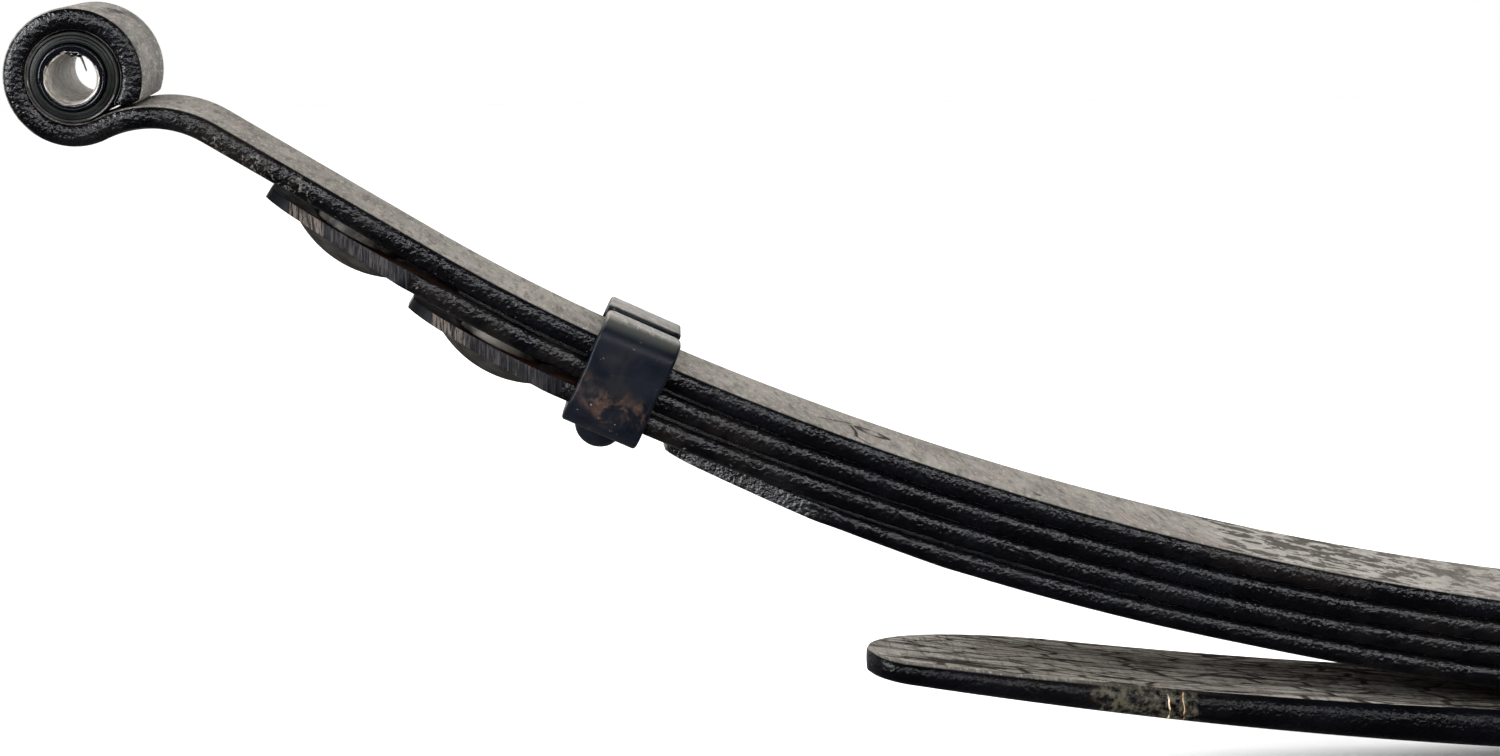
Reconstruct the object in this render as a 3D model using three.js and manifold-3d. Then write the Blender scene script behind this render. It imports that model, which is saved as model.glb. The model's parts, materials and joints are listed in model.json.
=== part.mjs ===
// A multi-leaf suspension spring for a vehicle's rear axle: a main leaf with a rolled eye at each end, three
// graduated leaves nested under it, a thick overload leaf below, two rebound clips and a bonded bush in each eye.
//
// Millimetres and degrees. +X runs to the rear, +Y to the left, +Z up. The origin is on the centre bolt's axis,
// at the bottom face of the overload leaf, which is the seat that an axle's spring pad bears on.

import * as THREE from 'three';
import { mergeVertices } from 'three/addons/utils/BufferGeometryUtils.js';
import Module from 'manifold-3d';

// Driving dimensions: the leaves
const LEAF_WIDTH = 60;
const LEAF_THICKNESS = 7;
const LEAF_GAP = 0.3;
const EDGE_CHAMFER = 1.6;
const SECOND_LEAF_REACH = 631.4;
const THIRD_LEAF_REACH = 576.8;
const FOURTH_LEAF_REACH = 487;
const NOSE_RADIUS = 17;
const NOSE_TAPER = 52;
const TIP_THINNING = 3.4;
const TIP_THINNING_LENGTH = 62;
const UNDERSIDE_THINNING = 2.2;
const UNDERSIDE_THINNING_LENGTH = 90;
const STAND_OFF = 0.65;
const STAND_OFF_LENGTH = 190;

// Driving dimensions: the main leaf's free shape, from the flat seat outwards
const SEAT_HALF_LENGTH = 50;
const MAIN_RADIUS = 1069;
const MAIN_ANGLE = 24.85;
const OUTER_RADIUS = 636;
const OUTER_ANGLE = 6.2;
const STRAIGHT_LENGTH = 72.9;
const REVERSE_RADIUS = 32.5;
const REVERSE_ANGLE = 57.5;
const EYE_INNER_RADIUS = 13.7;
const EYE_END_INNER_ANGLE = 306.5;
const EYE_END_OUTER_ANGLE = 291;

// Driving dimensions: the overload leaf
const OVERLOAD_THICKNESS = 13.6;
const OVERLOAD_REACH = 421;
const OVERLOAD_BOTTOM_RADIUS = 1985;
const OVERLOAD_TOP_RADIUS = 2440;
const OVERLOAD_TAPER = 66;
const OVERLOAD_APEX_Y = -13;
const OVERLOAD_FAR_RADIUS = 26;
const OVERLOAD_NEAR_RADIUS = 12;
const OVERLOAD_CHAMFER = 2.6;

// Driving dimensions: pressed cups and silencer pads in the tips of the second and third leaves
const CUP_FROM_NOSE = 30.4;
const CUP_DEPTH = 6.1;
const CUP_SPHERE_RADIUS = 35;
const CUP_WALL = 5.3;
const PAD_RADIUS = 14;
const PAD_CHAMFER = 1;
const PAD_CLEARANCE = 0.3;

// Driving dimensions: centre bolt and nut
const BOLT_RADIUS = 5;
const BOLT_HOLE_RADIUS = 5.3;
const BOLT_HEAD_RADIUS = 8;
const BOLT_HEAD_HEIGHT = 7;
const BOLT_THREAD_END = 13;
const BOLT_CHAMFER = 1;
const NUT_ACROSS_FLATS = 17;
const NUT_HEIGHT = 8;

// Driving dimensions: rebound clips and their rivets
const CLIP_STATION = 508.5;
const CLIP_LENGTH = 25;
const CLIP_THICKNESS = 4.8;
const CLIP_SKEW = 0.075;
const CLIP_SIDE_CLEARANCE = 0.5;
const CLIP_TOP_CLEARANCE = 2.6;
const CLIP_BOTTOM_CLEARANCE = 0.6;
const CLIP_LOWER_BEND = 3.6;
const CLIP_UPPER_BEND = 3.4;
const CLIP_NEAR_EAR_END = -13;
const CLIP_FAR_EAR_END = 0;
const RIVET_RADIUS = 4;
const RIVET_HOLE_RADIUS = 4.3;
const RIVET_HEAD_RADIUS = 7.8;
const RIVET_HEAD_HEIGHT = 7.9;

// Driving dimensions: eye bushes
const SHELL_OUTER_RADIUS = 13.4;
const SHELL_INNER_RADIUS = 12.6;
const SHELL_LENGTH = 61;
const RUBBER_OUTER_RADIUS = 12.3;
const RUBBER_INNER_RADIUS = 10.3;
const RUBBER_LENGTH = 62;
const SLEEVE_OUTER_RADIUS = 10;
const SLEEVE_BORE_RADIUS = 7.3;
const SLEEVE_LENGTH = 65;
const SLEEVE_CHAMFER = 0.8;

// Fineness of the facets
const STATION_STEP = 24;
const BEND_STEP = 9;
const ROUND_SIDES = 36;
const SMALL_ROUND_SIDES = 20;
const BALL_SIDES = 24;
const BALL_RINGS = 24;

// Derived dimensions
const HALF_THICKNESS = LEAF_THICKNESS / 2;
const LEAF_PITCH = LEAF_THICKNESS + LEAF_GAP;
const LOWER_LEAVES = 3;
const MAIN_MIDDLE_Z = OVERLOAD_THICKNESS + LEAF_GAP + LOWER_LEAVES * LEAF_PITCH + HALF_THICKNESS;
const MAIN_TOP_Z = MAIN_MIDDLE_Z + HALF_THICKNESS;
const EYE_LINE_RADIUS = EYE_INNER_RADIUS + HALF_THICKNESS;
const REACHES = [0, SECOND_LEAF_REACH, THIRD_LEAF_REACH, FOURTH_LEAF_REACH];
const TOP_THINNINGS = [0, TIP_THINNING, TIP_THINNING, 0];
const UNDERSIDE_THINNINGS = [0, 0, 0, UNDERSIDE_THINNING];
const CUT_MARGIN = 40;

// The main leaf's centreline is a chain of straights and arcs: length, and curvature (positive bends upwards).
const BENDS = [
  { length: SEAT_HALF_LENGTH, curvature: 0 },
  { length: MAIN_RADIUS * THREE.MathUtils.degToRad(MAIN_ANGLE), curvature: 1 / MAIN_RADIUS },
  { length: OUTER_RADIUS * THREE.MathUtils.degToRad(OUTER_ANGLE), curvature: 1 / OUTER_RADIUS },
  { length: STRAIGHT_LENGTH, curvature: 0 },
  { length: REVERSE_RADIUS * THREE.MathUtils.degToRad(REVERSE_ANGLE), curvature: -1 / REVERSE_RADIUS },
];
const MAIN_REACH = BENDS.reduce((sum, bend) => sum + bend.length, 0);

const wasm = await Module();
wasm.setup();

// ---- Materials -------------------------------------------------------------------------------------------

function satinBlackPaint() {
  return new THREE.MeshStandardMaterial({ color: 0x1b1c20, roughness: 0.42, metalness: 0.0 });
}

function weatheredBlackPaint() {
  return new THREE.MeshStandardMaterial({ color: 0x24221f, roughness: 0.6, metalness: 0.0 });
}

function bareSteel() {
  return new THREE.MeshStandardMaterial({ color: 0x8d867c, roughness: 0.45, metalness: 1.0 });
}

function blackRubber() {
  return new THREE.MeshStandardMaterial({ color: 0x202220, roughness: 0.85, metalness: 0.0 });
}

function greyPlastic() {
  return new THREE.MeshStandardMaterial({ color: 0x4a4742, roughness: 0.6, metalness: 0.0 });
}

// ---- Solids ----------------------------------------------------------------------------------------------

function toSolid(geometry) {
  const plain = geometry.clone();
  plain.deleteAttribute('normal');
  plain.deleteAttribute('uv');
  const merged = mergeVertices(plain, 1e-4);
  const vertProperties = new Float32Array(merged.attributes.position.array);
  const triVerts = Uint32Array.from(merged.index.array);
  return new wasm.Manifold(new wasm.Mesh({ numProp: 3, vertProperties, triVerts }));
}

function toGeometry(solid) {
  const result = solid.getMesh();
  const geometry = new THREE.BufferGeometry();
  geometry.setAttribute('position', new THREE.BufferAttribute(result.vertProperties, result.numProp));
  geometry.setIndex(new THREE.BufferAttribute(result.triVerts, 1));
  geometry.computeVertexNormals();
  return geometry;
}

function node(name, geometry, material) {
  const mesh = new THREE.Mesh(geometry, material);
  mesh.name = name;
  return mesh;
}

// A ring or disc about +Z, from [radius, height] pairs.
function turned(profile, sides) {
  const points = profile.map(([radius, height]) => new THREE.Vector2(radius, height));
  const geometry = new THREE.LatheGeometry(points, sides);
  geometry.rotateX(Math.PI / 2);
  return geometry;
}

// A solid cylinder along Z between two heights.
function post(radius, bottom, top, sides) {
  return turned([[0, bottom], [radius, bottom], [radius, top], [0, top]], sides);
}

// A solid skinned over rings of points with equal counts, closed flat at both ends.
function skinned(rings) {
  const count = rings[0].length;
  const positions = rings.flat(2);
  const index = [];
  const quad = (p, q, r, t) => index.push(p, q, r, p, r, t);
  for (let i = 0; i < rings.length - 1; i += 1) {
    for (let j = 0; j < count; j += 1) {
      const next = (j + 1) % count;
      quad(i * count + j, i * count + next, (i + 1) * count + next, (i + 1) * count + j);
    }
  }
  const last = (rings.length - 1) * count;
  for (let j = 1; j < count - 1; j += 1) {
    index.push(0, j + 1, j);
    index.push(last, last + j, last + j + 1);
  }
  const geometry = new THREE.BufferGeometry();
  geometry.setAttribute('position', new THREE.Float32BufferAttribute(positions, 3));
  geometry.setIndex(index);
  return geometry;
}

// A leaf's cross-section as a ring: place turns a height in the section into a point [x, z].
function leafSection(place, top, bottom, chamfer) {
  const side = LEAF_WIDTH / 2;
  const corners = [
    [-side + chamfer, bottom],
    [side - chamfer, bottom],
    [side, bottom + chamfer],
    [side, top - chamfer],
    [side - chamfer, top],
    [-side + chamfer, top],
    [-side, top - chamfer],
    [-side, bottom + chamfer],
  ];
  return corners.map(([y, height]) => {
    const [x, z] = place(height);
    return [x, y, z];
  });
}

// Sections of the front half, from the middle outwards, mirrored to make the whole leaf.
function wholeLeaf(sections) {
  const front = [...sections].reverse().map((ring) => ring.map(([x, y, z]) => [-x, y, z]));
  return toSolid(skinned([...front, ...sections]));
}

// ---- The spring's line -----------------------------------------------------------------------------------

// Point and slope on the main leaf's centreline, at a developed distance from the centre bolt.
function lineAt(distance) {
  let x = 0;
  let z = MAIN_MIDDLE_Z;
  let slope = 0;
  let left = distance;
  for (const { length, curvature } of BENDS) {
    const step = Math.min(left, length);
    if (curvature === 0) {
      x += step * Math.cos(slope);
      z += step * Math.sin(slope);
    } else {
      const turn = curvature * step;
      x += (Math.sin(slope + turn) - Math.sin(slope)) / curvature;
      z += (Math.cos(slope) - Math.cos(slope + turn)) / curvature;
      slope += turn;
    }
    left -= step;
    if (left <= 0) break;
  }
  return { x, z, slope };
}

// A point beside that line, at a distance along its upward normal.
function besideLine(distance, offset) {
  const { x, z, slope } = lineAt(distance);
  return [x - Math.sin(slope) * offset, z + Math.cos(slope) * offset];
}

// Developed distances at which the leaves' sides have a corner, the same for every leaf.
function stationsTo(reach) {
  const stations = [0];
  let start = 0;
  for (const { length, curvature } of BENDS) {
    const tight = Math.abs(curvature) > 1 / (2 * REVERSE_RADIUS);
    const pieces = Math.ceil(length / (tight ? BEND_STEP / 2 : STATION_STEP));
    for (let i = 1; i <= pieces; i += 1) stations.push(start + (length * i) / pieces);
    start += length;
  }
  const inside = stations.filter((station) => station < reach - 1);
  return [...inside, reach];
}

// How far a lower leaf's centreline lies under the main leaf's. Each leaf touches the leaf above it at its
// seat and at its nose, and stands off a little in between.
function dropOf(leaf, distance) {
  let drop = leaf * LEAF_PITCH;
  for (let i = 1; i <= leaf; i += 1) {
    const share = (REACHES[i] - distance) / STAND_OFF_LENGTH;
    if (share > 0 && share < 1) drop += STAND_OFF * 4 * share * (1 - share);
  }
  return drop;
}

// A tip is thinned towards its nose, quickly at first and then less.
function thinned(amount, length, fromNose) {
  const thick = Math.min(1, fromNose / length);
  return amount * (1 - thick ** 2);
}

function topOffset(leaf, distance) {
  const cut = thinned(TOP_THINNINGS[leaf], TIP_THINNING_LENGTH, REACHES[leaf] - distance);
  return HALF_THICKNESS - dropOf(leaf, distance) - cut;
}

function bottomOffset(leaf, distance) {
  const cut = thinned(UNDERSIDE_THINNINGS[leaf], UNDERSIDE_THINNING_LENGTH, REACHES[leaf] - distance);
  return -HALF_THICKNESS - dropOf(leaf, distance) + cut;
}

const EYE_START = lineAt(MAIN_REACH);
const EYE_X = EYE_START.x - Math.sin(EYE_START.slope) * EYE_LINE_RADIUS;
const EYE_Z = EYE_START.z + Math.cos(EYE_START.slope) * EYE_LINE_RADIUS;

// ---- Leaves ----------------------------------------------------------------------------------------------

// A point in the eye's wall, at a height above the leaf's middle and a heading of the leaf as it rolls over.
function eyePoint(heading, height) {
  const angle = THREE.MathUtils.degToRad(heading);
  const radius = EYE_LINE_RADIUS - height;
  return [EYE_X + radius * Math.sin(angle), EYE_Z - radius * Math.cos(angle)];
}

// The cut end of the eye is skewed to lie along the leaf below it.
function eyeSections() {
  const start = THREE.MathUtils.radToDeg(EYE_START.slope);
  const middle = (EYE_END_INNER_ANGLE + EYE_END_OUTER_ANGLE) / 2;
  const skew = (EYE_END_INNER_ANGLE - EYE_END_OUTER_ANGLE) / LEAF_THICKNESS;
  const count = Math.ceil((middle - start) / BEND_STEP);
  const sections = [];
  for (let i = 1; i <= count; i += 1) {
    const heading = start + ((middle - start) * i) / count;
    const lean = i === count ? skew : 0;
    const place = (height) => eyePoint(heading + lean * height, height);
    sections.push(leafSection(place, HALF_THICKNESS, -HALF_THICKNESS, EDGE_CHAMFER));
  }
  return sections;
}

function leafSections(leaf, reach) {
  return stationsTo(reach).slice(1).map((s) => {
    const place = (height) => besideLine(s, height);
    return leafSection(place, topOffset(leaf, s), bottomOffset(leaf, s), EDGE_CHAMFER);
  });
}

// Distances along X at which the overload leaf has a section: a few on the flat seat, then the curved ends.
function overloadStations() {
  const seatCount = Math.ceil(SEAT_HALF_LENGTH / STATION_STEP);
  const count = Math.ceil((OVERLOAD_REACH - SEAT_HALF_LENGTH) / STATION_STEP);
  const stations = [];
  for (let i = 1; i < seatCount; i += 1) stations.push((SEAT_HALF_LENGTH * i) / seatCount);
  for (let i = 0; i <= count; i += 1) {
    stations.push(SEAT_HALF_LENGTH + ((OVERLOAD_REACH - SEAT_HALF_LENGTH) * i) / count);
  }
  return stations;
}

function overloadSections() {
  return overloadStations().map((x) => {
    const beyond = Math.max(0, x - SEAT_HALF_LENGTH);
    const top = OVERLOAD_THICKNESS + beyond ** 2 / (2 * OVERLOAD_TOP_RADIUS);
    const bottom = beyond ** 2 / (2 * OVERLOAD_BOTTOM_RADIUS);
    const place = (height) => [x, height];
    return leafSection(place, top, bottom, OVERLOAD_CHAMFER);
  });
}

// A plan outline, symmetrical about X = 0, as a tall prism that trims a leaf's tips.
function planPrism(halfOutline) {
  const outline = [...halfOutline, ...[...halfOutline].reverse().map(([x, y]) => [-x, y])];
  const shape = new THREE.Shape(outline.map(([x, y]) => new THREE.Vector2(x, y)));
  const height = EYE_Z + CUT_MARGIN;
  const geometry = new THREE.ExtrudeGeometry(shape, { depth: height + CUT_MARGIN, bevelEnabled: false });
  geometry.translate(0, 0, -CUT_MARGIN);
  return toSolid(geometry);
}

// Points on a circle between two directions, in degrees from +X.
function arcPoints(centreX, centreY, radius, from, to) {
  const count = Math.ceil(Math.abs(to - from) / BEND_STEP);
  const points = [];
  for (let i = 0; i <= count; i += 1) {
    const angle = THREE.MathUtils.degToRad(from + ((to - from) * i) / count);
    points.push([centreX + radius * Math.cos(angle), centreY + radius * Math.sin(angle)]);
  }
  return points;
}

// A spear-shaped tip in plan: full width, straight tapers, and a round nose that ends at noseX.
function spearTip(noseX, slope) {
  const halfWidth = LEAF_WIDTH / 2 + 1;
  const shoulderX = noseX - NOSE_TAPER * Math.cos(slope);
  const centreX = noseX - NOSE_RADIUS;
  const run = centreX - shoulderX;
  const reach = Math.hypot(run, halfWidth);
  const tilt = Math.atan2(run, halfWidth) - Math.acos(NOSE_RADIUS / reach);
  const tangent = 90 + THREE.MathUtils.radToDeg(tilt);
  return [[shoulderX, -halfWidth], ...arcPoints(centreX, 0, NOSE_RADIUS, -tangent, tangent), [shoulderX, halfWidth]];
}

// The overload leaf's tip: a small radius on its right corner and a long round taper on its left.
function overloadTip() {
  const halfWidth = LEAF_WIDTH / 2 + 1;
  const nearX = OVERLOAD_REACH - OVERLOAD_NEAR_RADIUS;
  const nearY = -LEAF_WIDTH / 2 + OVERLOAD_NEAR_RADIUS;
  const farX = OVERLOAD_REACH - OVERLOAD_FAR_RADIUS;
  const near = arcPoints(nearX, nearY, OVERLOAD_NEAR_RADIUS, -84, 0);
  const far = arcPoints(farX, OVERLOAD_APEX_Y, OVERLOAD_FAR_RADIUS, 0, 69);
  const shoulderX = OVERLOAD_REACH - OVERLOAD_TAPER;
  return [[shoulderX, -halfWidth], ...near, ...far, [shoulderX, halfWidth]];
}

function boltHole() {
  return toSolid(post(BOLT_HOLE_RADIUS, -CUT_MARGIN, MAIN_TOP_Z + CUT_MARGIN, SMALL_ROUND_SIDES));
}

// Turns and moves a geometry made about Z so that it stands square to the spring's line. side is -1 or 1.
function standOnLine(geometry, distance, offset, side) {
  const { slope } = lineAt(distance);
  const [x, z] = besideLine(distance, offset);
  geometry.rotateY(-side * slope);
  geometry.translate(side * x, 0, z);
  return geometry;
}

function mainLeaf() {
  const body = wholeLeaf([...leafSections(0, MAIN_REACH), ...eyeSections()]);
  return node('main_leaf', toGeometry(body.subtract(boltHole())), satinBlackPaint());
}

function lowerLeaf(name, leaf) {
  const { slope } = lineAt(REACHES[leaf]);
  const [noseX] = besideLine(REACHES[leaf], bottomOffset(leaf, REACHES[leaf]));
  let body = wholeLeaf(leafSections(leaf, REACHES[leaf]));
  if (TOP_THINNINGS[leaf] > 0) body = withCups(body, leaf);
  body = body.intersect(planPrism(spearTip(noseX, slope)));
  body = body.subtract(boltHole());
  if (leaf === 2) body = withRivetHoles(body);
  return node(name, toGeometry(body), satinBlackPaint());
}

function overloadLeaf() {
  const body = wholeLeaf(overloadSections());
  const trimmed = body.intersect(planPrism(overloadTip())).subtract(boltHole());
  return node('overload_leaf', toGeometry(trimmed), weatheredBlackPaint());
}

// ---- Cups and pads ---------------------------------------------------------------------------------------

function cupStation(leaf) {
  return REACHES[leaf] - CUP_FROM_NOSE;
}

function ball(radius, leaf, side) {
  const station = cupStation(leaf);
  const height = bottomOffset(leaf, station) - CUP_DEPTH + CUP_SPHERE_RADIUS;
  const geometry = new THREE.SphereGeometry(radius, BALL_SIDES, BALL_RINGS);
  geometry.rotateX(Math.PI / 2);
  return toSolid(standOnLine(geometry, station, height, side));
}

// Everything on one side of the plane through the middle of a leaf, near its tip.
function halfSpace(leaf, side, offset, upwards) {
  const size = 3 * CUP_SPHERE_RADIUS;
  const geometry = new THREE.BoxGeometry(size, size, size);
  geometry.translate(0, 0, upwards ? size / 2 : -size / 2);
  return toSolid(standOnLine(geometry, cupStation(leaf), offset, side));
}

function withCups(body, leaf) {
  const middle = -dropOf(leaf, cupStation(leaf));
  let result = body;
  for (const side of [-1, 1]) {
    const dome = ball(CUP_SPHERE_RADIUS, leaf, side).intersect(halfSpace(leaf, side, middle, false));
    result = result.add(dome).subtract(ball(CUP_SPHERE_RADIUS - CUP_WALL, leaf, side));
  }
  return result;
}

function silencerPad(name, leaf, side) {
  const station = cupStation(leaf);
  const sphere = CUP_SPHERE_RADIUS - CUP_WALL - PAD_CLEARANCE;
  const centre = bottomOffset(leaf, station) - CUP_DEPTH + CUP_SPHERE_RADIUS;
  const top = bottomOffset(leaf - 1, station) - 2 * PAD_CLEARANCE;
  const rounds = 6;
  const profile = [];
  for (let i = 0; i <= rounds; i += 1) {
    const radius = (PAD_RADIUS * i) / rounds;
    profile.push([radius, centre - Math.sqrt(sphere ** 2 - radius ** 2)]);
  }
  profile.push([PAD_RADIUS, top - PAD_CHAMFER], [PAD_RADIUS - PAD_CHAMFER, top], [0, top]);
  const geometry = turned(profile, SMALL_ROUND_SIDES);
  return node(name, standOnLine(geometry, station, 0, side), greyPlastic());
}

// ---- Centre bolt -----------------------------------------------------------------------------------------

function centreBolt() {
  const top = MAIN_TOP_Z + BOLT_THREAD_END;
  const head = -LEAF_GAP;
  const profile = [
    [0, head - BOLT_HEAD_HEIGHT],
    [BOLT_HEAD_RADIUS - BOLT_CHAMFER, head - BOLT_HEAD_HEIGHT],
    [BOLT_HEAD_RADIUS, head - BOLT_HEAD_HEIGHT + BOLT_CHAMFER],
    [BOLT_HEAD_RADIUS, head],
    [BOLT_RADIUS, head],
    [BOLT_RADIUS, top - BOLT_CHAMFER],
    [BOLT_RADIUS - BOLT_CHAMFER, top],
    [0, top],
  ];
  return node('centre_bolt', turned(profile, SMALL_ROUND_SIDES), bareSteel());
}

function centreNut() {
  const cornerRadius = NUT_ACROSS_FLATS / Math.sqrt(3);
  const hexagon = new THREE.CylinderGeometry(cornerRadius, cornerRadius, NUT_HEIGHT, 6);
  hexagon.rotateX(Math.PI / 2);
  hexagon.translate(0, 0, MAIN_TOP_Z + LEAF_GAP + NUT_HEIGHT / 2);
  return node('centre_nut', toGeometry(toSolid(hexagon).subtract(boltHole())), bareSteel());
}

// ---- Rebound clips ---------------------------------------------------------------------------------------

// The clip's middle line across the spring, as straights and arcs: length or radius, and turn in degrees.
function clipLine() {
  const side = LEAF_WIDTH / 2 + CLIP_SIDE_CLEARANCE + CLIP_THICKNESS / 2;
  const top = HALF_THICKNESS + CLIP_TOP_CLEARANCE + CLIP_THICKNESS / 2;
  const bottom = bottomOffset(2, CLIP_STATION) - CLIP_BOTTOM_CLEARANCE - CLIP_THICKNESS / 2;
  const lower = CLIP_LOWER_BEND + CLIP_THICKNESS / 2;
  const upper = CLIP_UPPER_BEND + CLIP_THICKNESS / 2;
  return [
    [CLIP_NEAR_EAR_END, top],
    ...arcPoints(-side + upper, top - upper, upper, 90, 180),
    ...arcPoints(-side + lower, bottom + lower, lower, 180, 270),
    ...arcPoints(side - lower, bottom + lower, lower, -90, 0),
    ...arcPoints(side - upper, top - upper, upper, 0, 90),
    [CLIP_FAR_EAR_END, top],
  ];
}

// Thickens an open line of points into a closed outline.
function ribbon(line, thickness) {
  const left = [];
  const right = [];
  line.forEach(([x, y], i) => {
    const [x0, y0] = line[Math.max(0, i - 1)];
    const [x1, y1] = line[Math.min(line.length - 1, i + 1)];
    const length = Math.hypot(x1 - x0, y1 - y0);
    const across = [(-(y1 - y0) / length) * (thickness / 2), ((x1 - x0) / length) * (thickness / 2)];
    left.push([x + across[0], y + across[1]]);
    right.push([x - across[0], y - across[1]]);
  });
  return [...right, ...left.reverse()];
}

// The strap is a little askew: its left plate stands nearer the spring's middle than its right one.
function reboundClip(name, side) {
  const outline = ribbon(clipLine(), CLIP_THICKNESS);
  const shape = new THREE.Shape(outline.map(([y, z]) => new THREE.Vector2(y, z)));
  const strap = new THREE.ExtrudeGeometry(shape, { depth: CLIP_LENGTH, bevelEnabled: false, curveSegments: 1 });
  strap.translate(0, 0, -CLIP_LENGTH / 2);
  strap.rotateX(Math.PI / 2);
  strap.rotateZ(Math.PI / 2);
  strap.applyMatrix4(new THREE.Matrix4().makeShear(0, 0, -side * CLIP_SKEW, 0, 0, 0));
  const body = toSolid(standOnLine(strap, CLIP_STATION, 0, side)).subtract(rivetHole(side));
  return node(name, toGeometry(body), satinBlackPaint());
}

function rivetHole(side) {
  const hole = post(RIVET_HOLE_RADIUS, -CUT_MARGIN, topOffset(2, CLIP_STATION) + LEAF_GAP / 2, SMALL_ROUND_SIDES);
  return toSolid(standOnLine(hole, CLIP_STATION, 0, side));
}

function withRivetHoles(body) {
  return body.subtract(rivetHole(-1)).subtract(rivetHole(1));
}

function clipRivet(name, side) {
  const seat = bottomOffset(2, CLIP_STATION) - CLIP_BOTTOM_CLEARANCE - CLIP_THICKNESS - LEAF_GAP;
  const top = topOffset(2, CLIP_STATION) - LEAF_GAP;
  const rounds = 5;
  const profile = [];
  for (let i = 0; i <= rounds; i += 1) {
    const angle = (Math.PI / 2) * (i / rounds);
    profile.push([RIVET_HEAD_RADIUS * Math.sin(angle), seat - RIVET_HEAD_HEIGHT * Math.cos(angle)]);
  }
  profile.push([RIVET_RADIUS, seat], [RIVET_RADIUS, top], [0, top]);
  const geometry = standOnLine(turned(profile, SMALL_ROUND_SIDES), CLIP_STATION, 0, side);
  return node(name, geometry, satinBlackPaint());
}

// ---- Eye bushes ------------------------------------------------------------------------------------------

// A tube along Y through an eye. A chamfer of nothing leaves its ends square.
function eyeTube(innerRadius, outerRadius, length, chamfer, side) {
  const half = length / 2;
  const square = [[innerRadius, -half], [outerRadius, -half], [outerRadius, half], [innerRadius, half]];
  const eased = [
    [innerRadius + chamfer, -half],
    [outerRadius - chamfer, -half],
    [outerRadius, -half + chamfer],
    [outerRadius, half - chamfer],
    [outerRadius - chamfer, half],
    [innerRadius + chamfer, half],
    [innerRadius, half - chamfer],
    [innerRadius, -half + chamfer],
  ];
  const profile = chamfer > 0 ? eased : square;
  const points = [...profile, profile[0]].map(([radius, height]) => new THREE.Vector2(radius, height));
  const geometry = new THREE.LatheGeometry(points, ROUND_SIDES);
  geometry.translate(side * EYE_X, 0, EYE_Z);
  return geometry;
}

function bush(prefix, side) {
  const shell = eyeTube(SHELL_INNER_RADIUS, SHELL_OUTER_RADIUS, SHELL_LENGTH, 0, side);
  const rubber = eyeTube(RUBBER_INNER_RADIUS, RUBBER_OUTER_RADIUS, RUBBER_LENGTH, 0, side);
  const sleeve = eyeTube(SLEEVE_BORE_RADIUS, SLEEVE_OUTER_RADIUS, SLEEVE_LENGTH, SLEEVE_CHAMFER, side);
  return [
    node(`${prefix}_bush_shell`, shell, bareSteel()),
    node(`${prefix}_bush_rubber`, rubber, blackRubber()),
    node(`${prefix}_bush_sleeve`, sleeve, bareSteel()),
  ];
}

// ---- The spring ------------------------------------------------------------------------------------------

const spring = new THREE.Group();
spring.add(mainLeaf());
spring.add(lowerLeaf('second_leaf', 1));
spring.add(lowerLeaf('third_leaf', 2));
spring.add(lowerLeaf('fourth_leaf', 3));
spring.add(overloadLeaf());
spring.add(centreBolt(), centreNut());
for (const [prefix, side] of [['front', -1], ['rear', 1]]) {
  spring.add(reboundClip(`${prefix}_clip`, side), clipRivet(`${prefix}_clip_rivet`, side));
  spring.add(silencerPad(`second_leaf_${prefix}_pad`, 1, side), silencerPad(`third_leaf_${prefix}_pad`, 2, side));
  spring.add(...bush(prefix, side));
}

export default spring;
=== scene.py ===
"""A vehicle's multi-leaf rear spring, on a pale studio floor.

Sizes are millimetres unless a name says otherwise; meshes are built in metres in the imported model's frame:
+X to the spring's rear, +Y to its left, +Z up, with the origin at the seat under the centre bolt.
"""

import json
import math

import bmesh
import bpy
from mathutils import Matrix, Vector, noise


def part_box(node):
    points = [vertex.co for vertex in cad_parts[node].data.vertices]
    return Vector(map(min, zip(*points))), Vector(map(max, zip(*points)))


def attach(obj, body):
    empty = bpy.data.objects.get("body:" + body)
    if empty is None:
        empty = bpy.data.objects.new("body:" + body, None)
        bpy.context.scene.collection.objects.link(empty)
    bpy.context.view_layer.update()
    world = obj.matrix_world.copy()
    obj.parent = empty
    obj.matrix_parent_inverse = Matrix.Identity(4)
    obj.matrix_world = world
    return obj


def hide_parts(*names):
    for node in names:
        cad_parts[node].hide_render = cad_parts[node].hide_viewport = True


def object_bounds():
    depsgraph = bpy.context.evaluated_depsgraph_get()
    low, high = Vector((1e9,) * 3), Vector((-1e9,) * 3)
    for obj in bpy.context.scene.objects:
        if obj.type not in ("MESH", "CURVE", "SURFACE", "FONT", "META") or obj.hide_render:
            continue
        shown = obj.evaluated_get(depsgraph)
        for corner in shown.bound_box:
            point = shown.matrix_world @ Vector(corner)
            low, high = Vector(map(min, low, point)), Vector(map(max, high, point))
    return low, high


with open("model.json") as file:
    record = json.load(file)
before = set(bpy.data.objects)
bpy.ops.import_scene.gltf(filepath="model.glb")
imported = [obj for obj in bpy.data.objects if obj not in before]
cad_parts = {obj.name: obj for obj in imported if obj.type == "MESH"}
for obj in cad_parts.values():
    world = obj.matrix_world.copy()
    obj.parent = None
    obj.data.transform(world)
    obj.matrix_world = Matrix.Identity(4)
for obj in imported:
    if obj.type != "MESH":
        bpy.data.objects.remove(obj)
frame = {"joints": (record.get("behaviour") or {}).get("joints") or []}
cad_low, cad_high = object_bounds()

MM = 0.001
SKIN = 0.04

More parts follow.
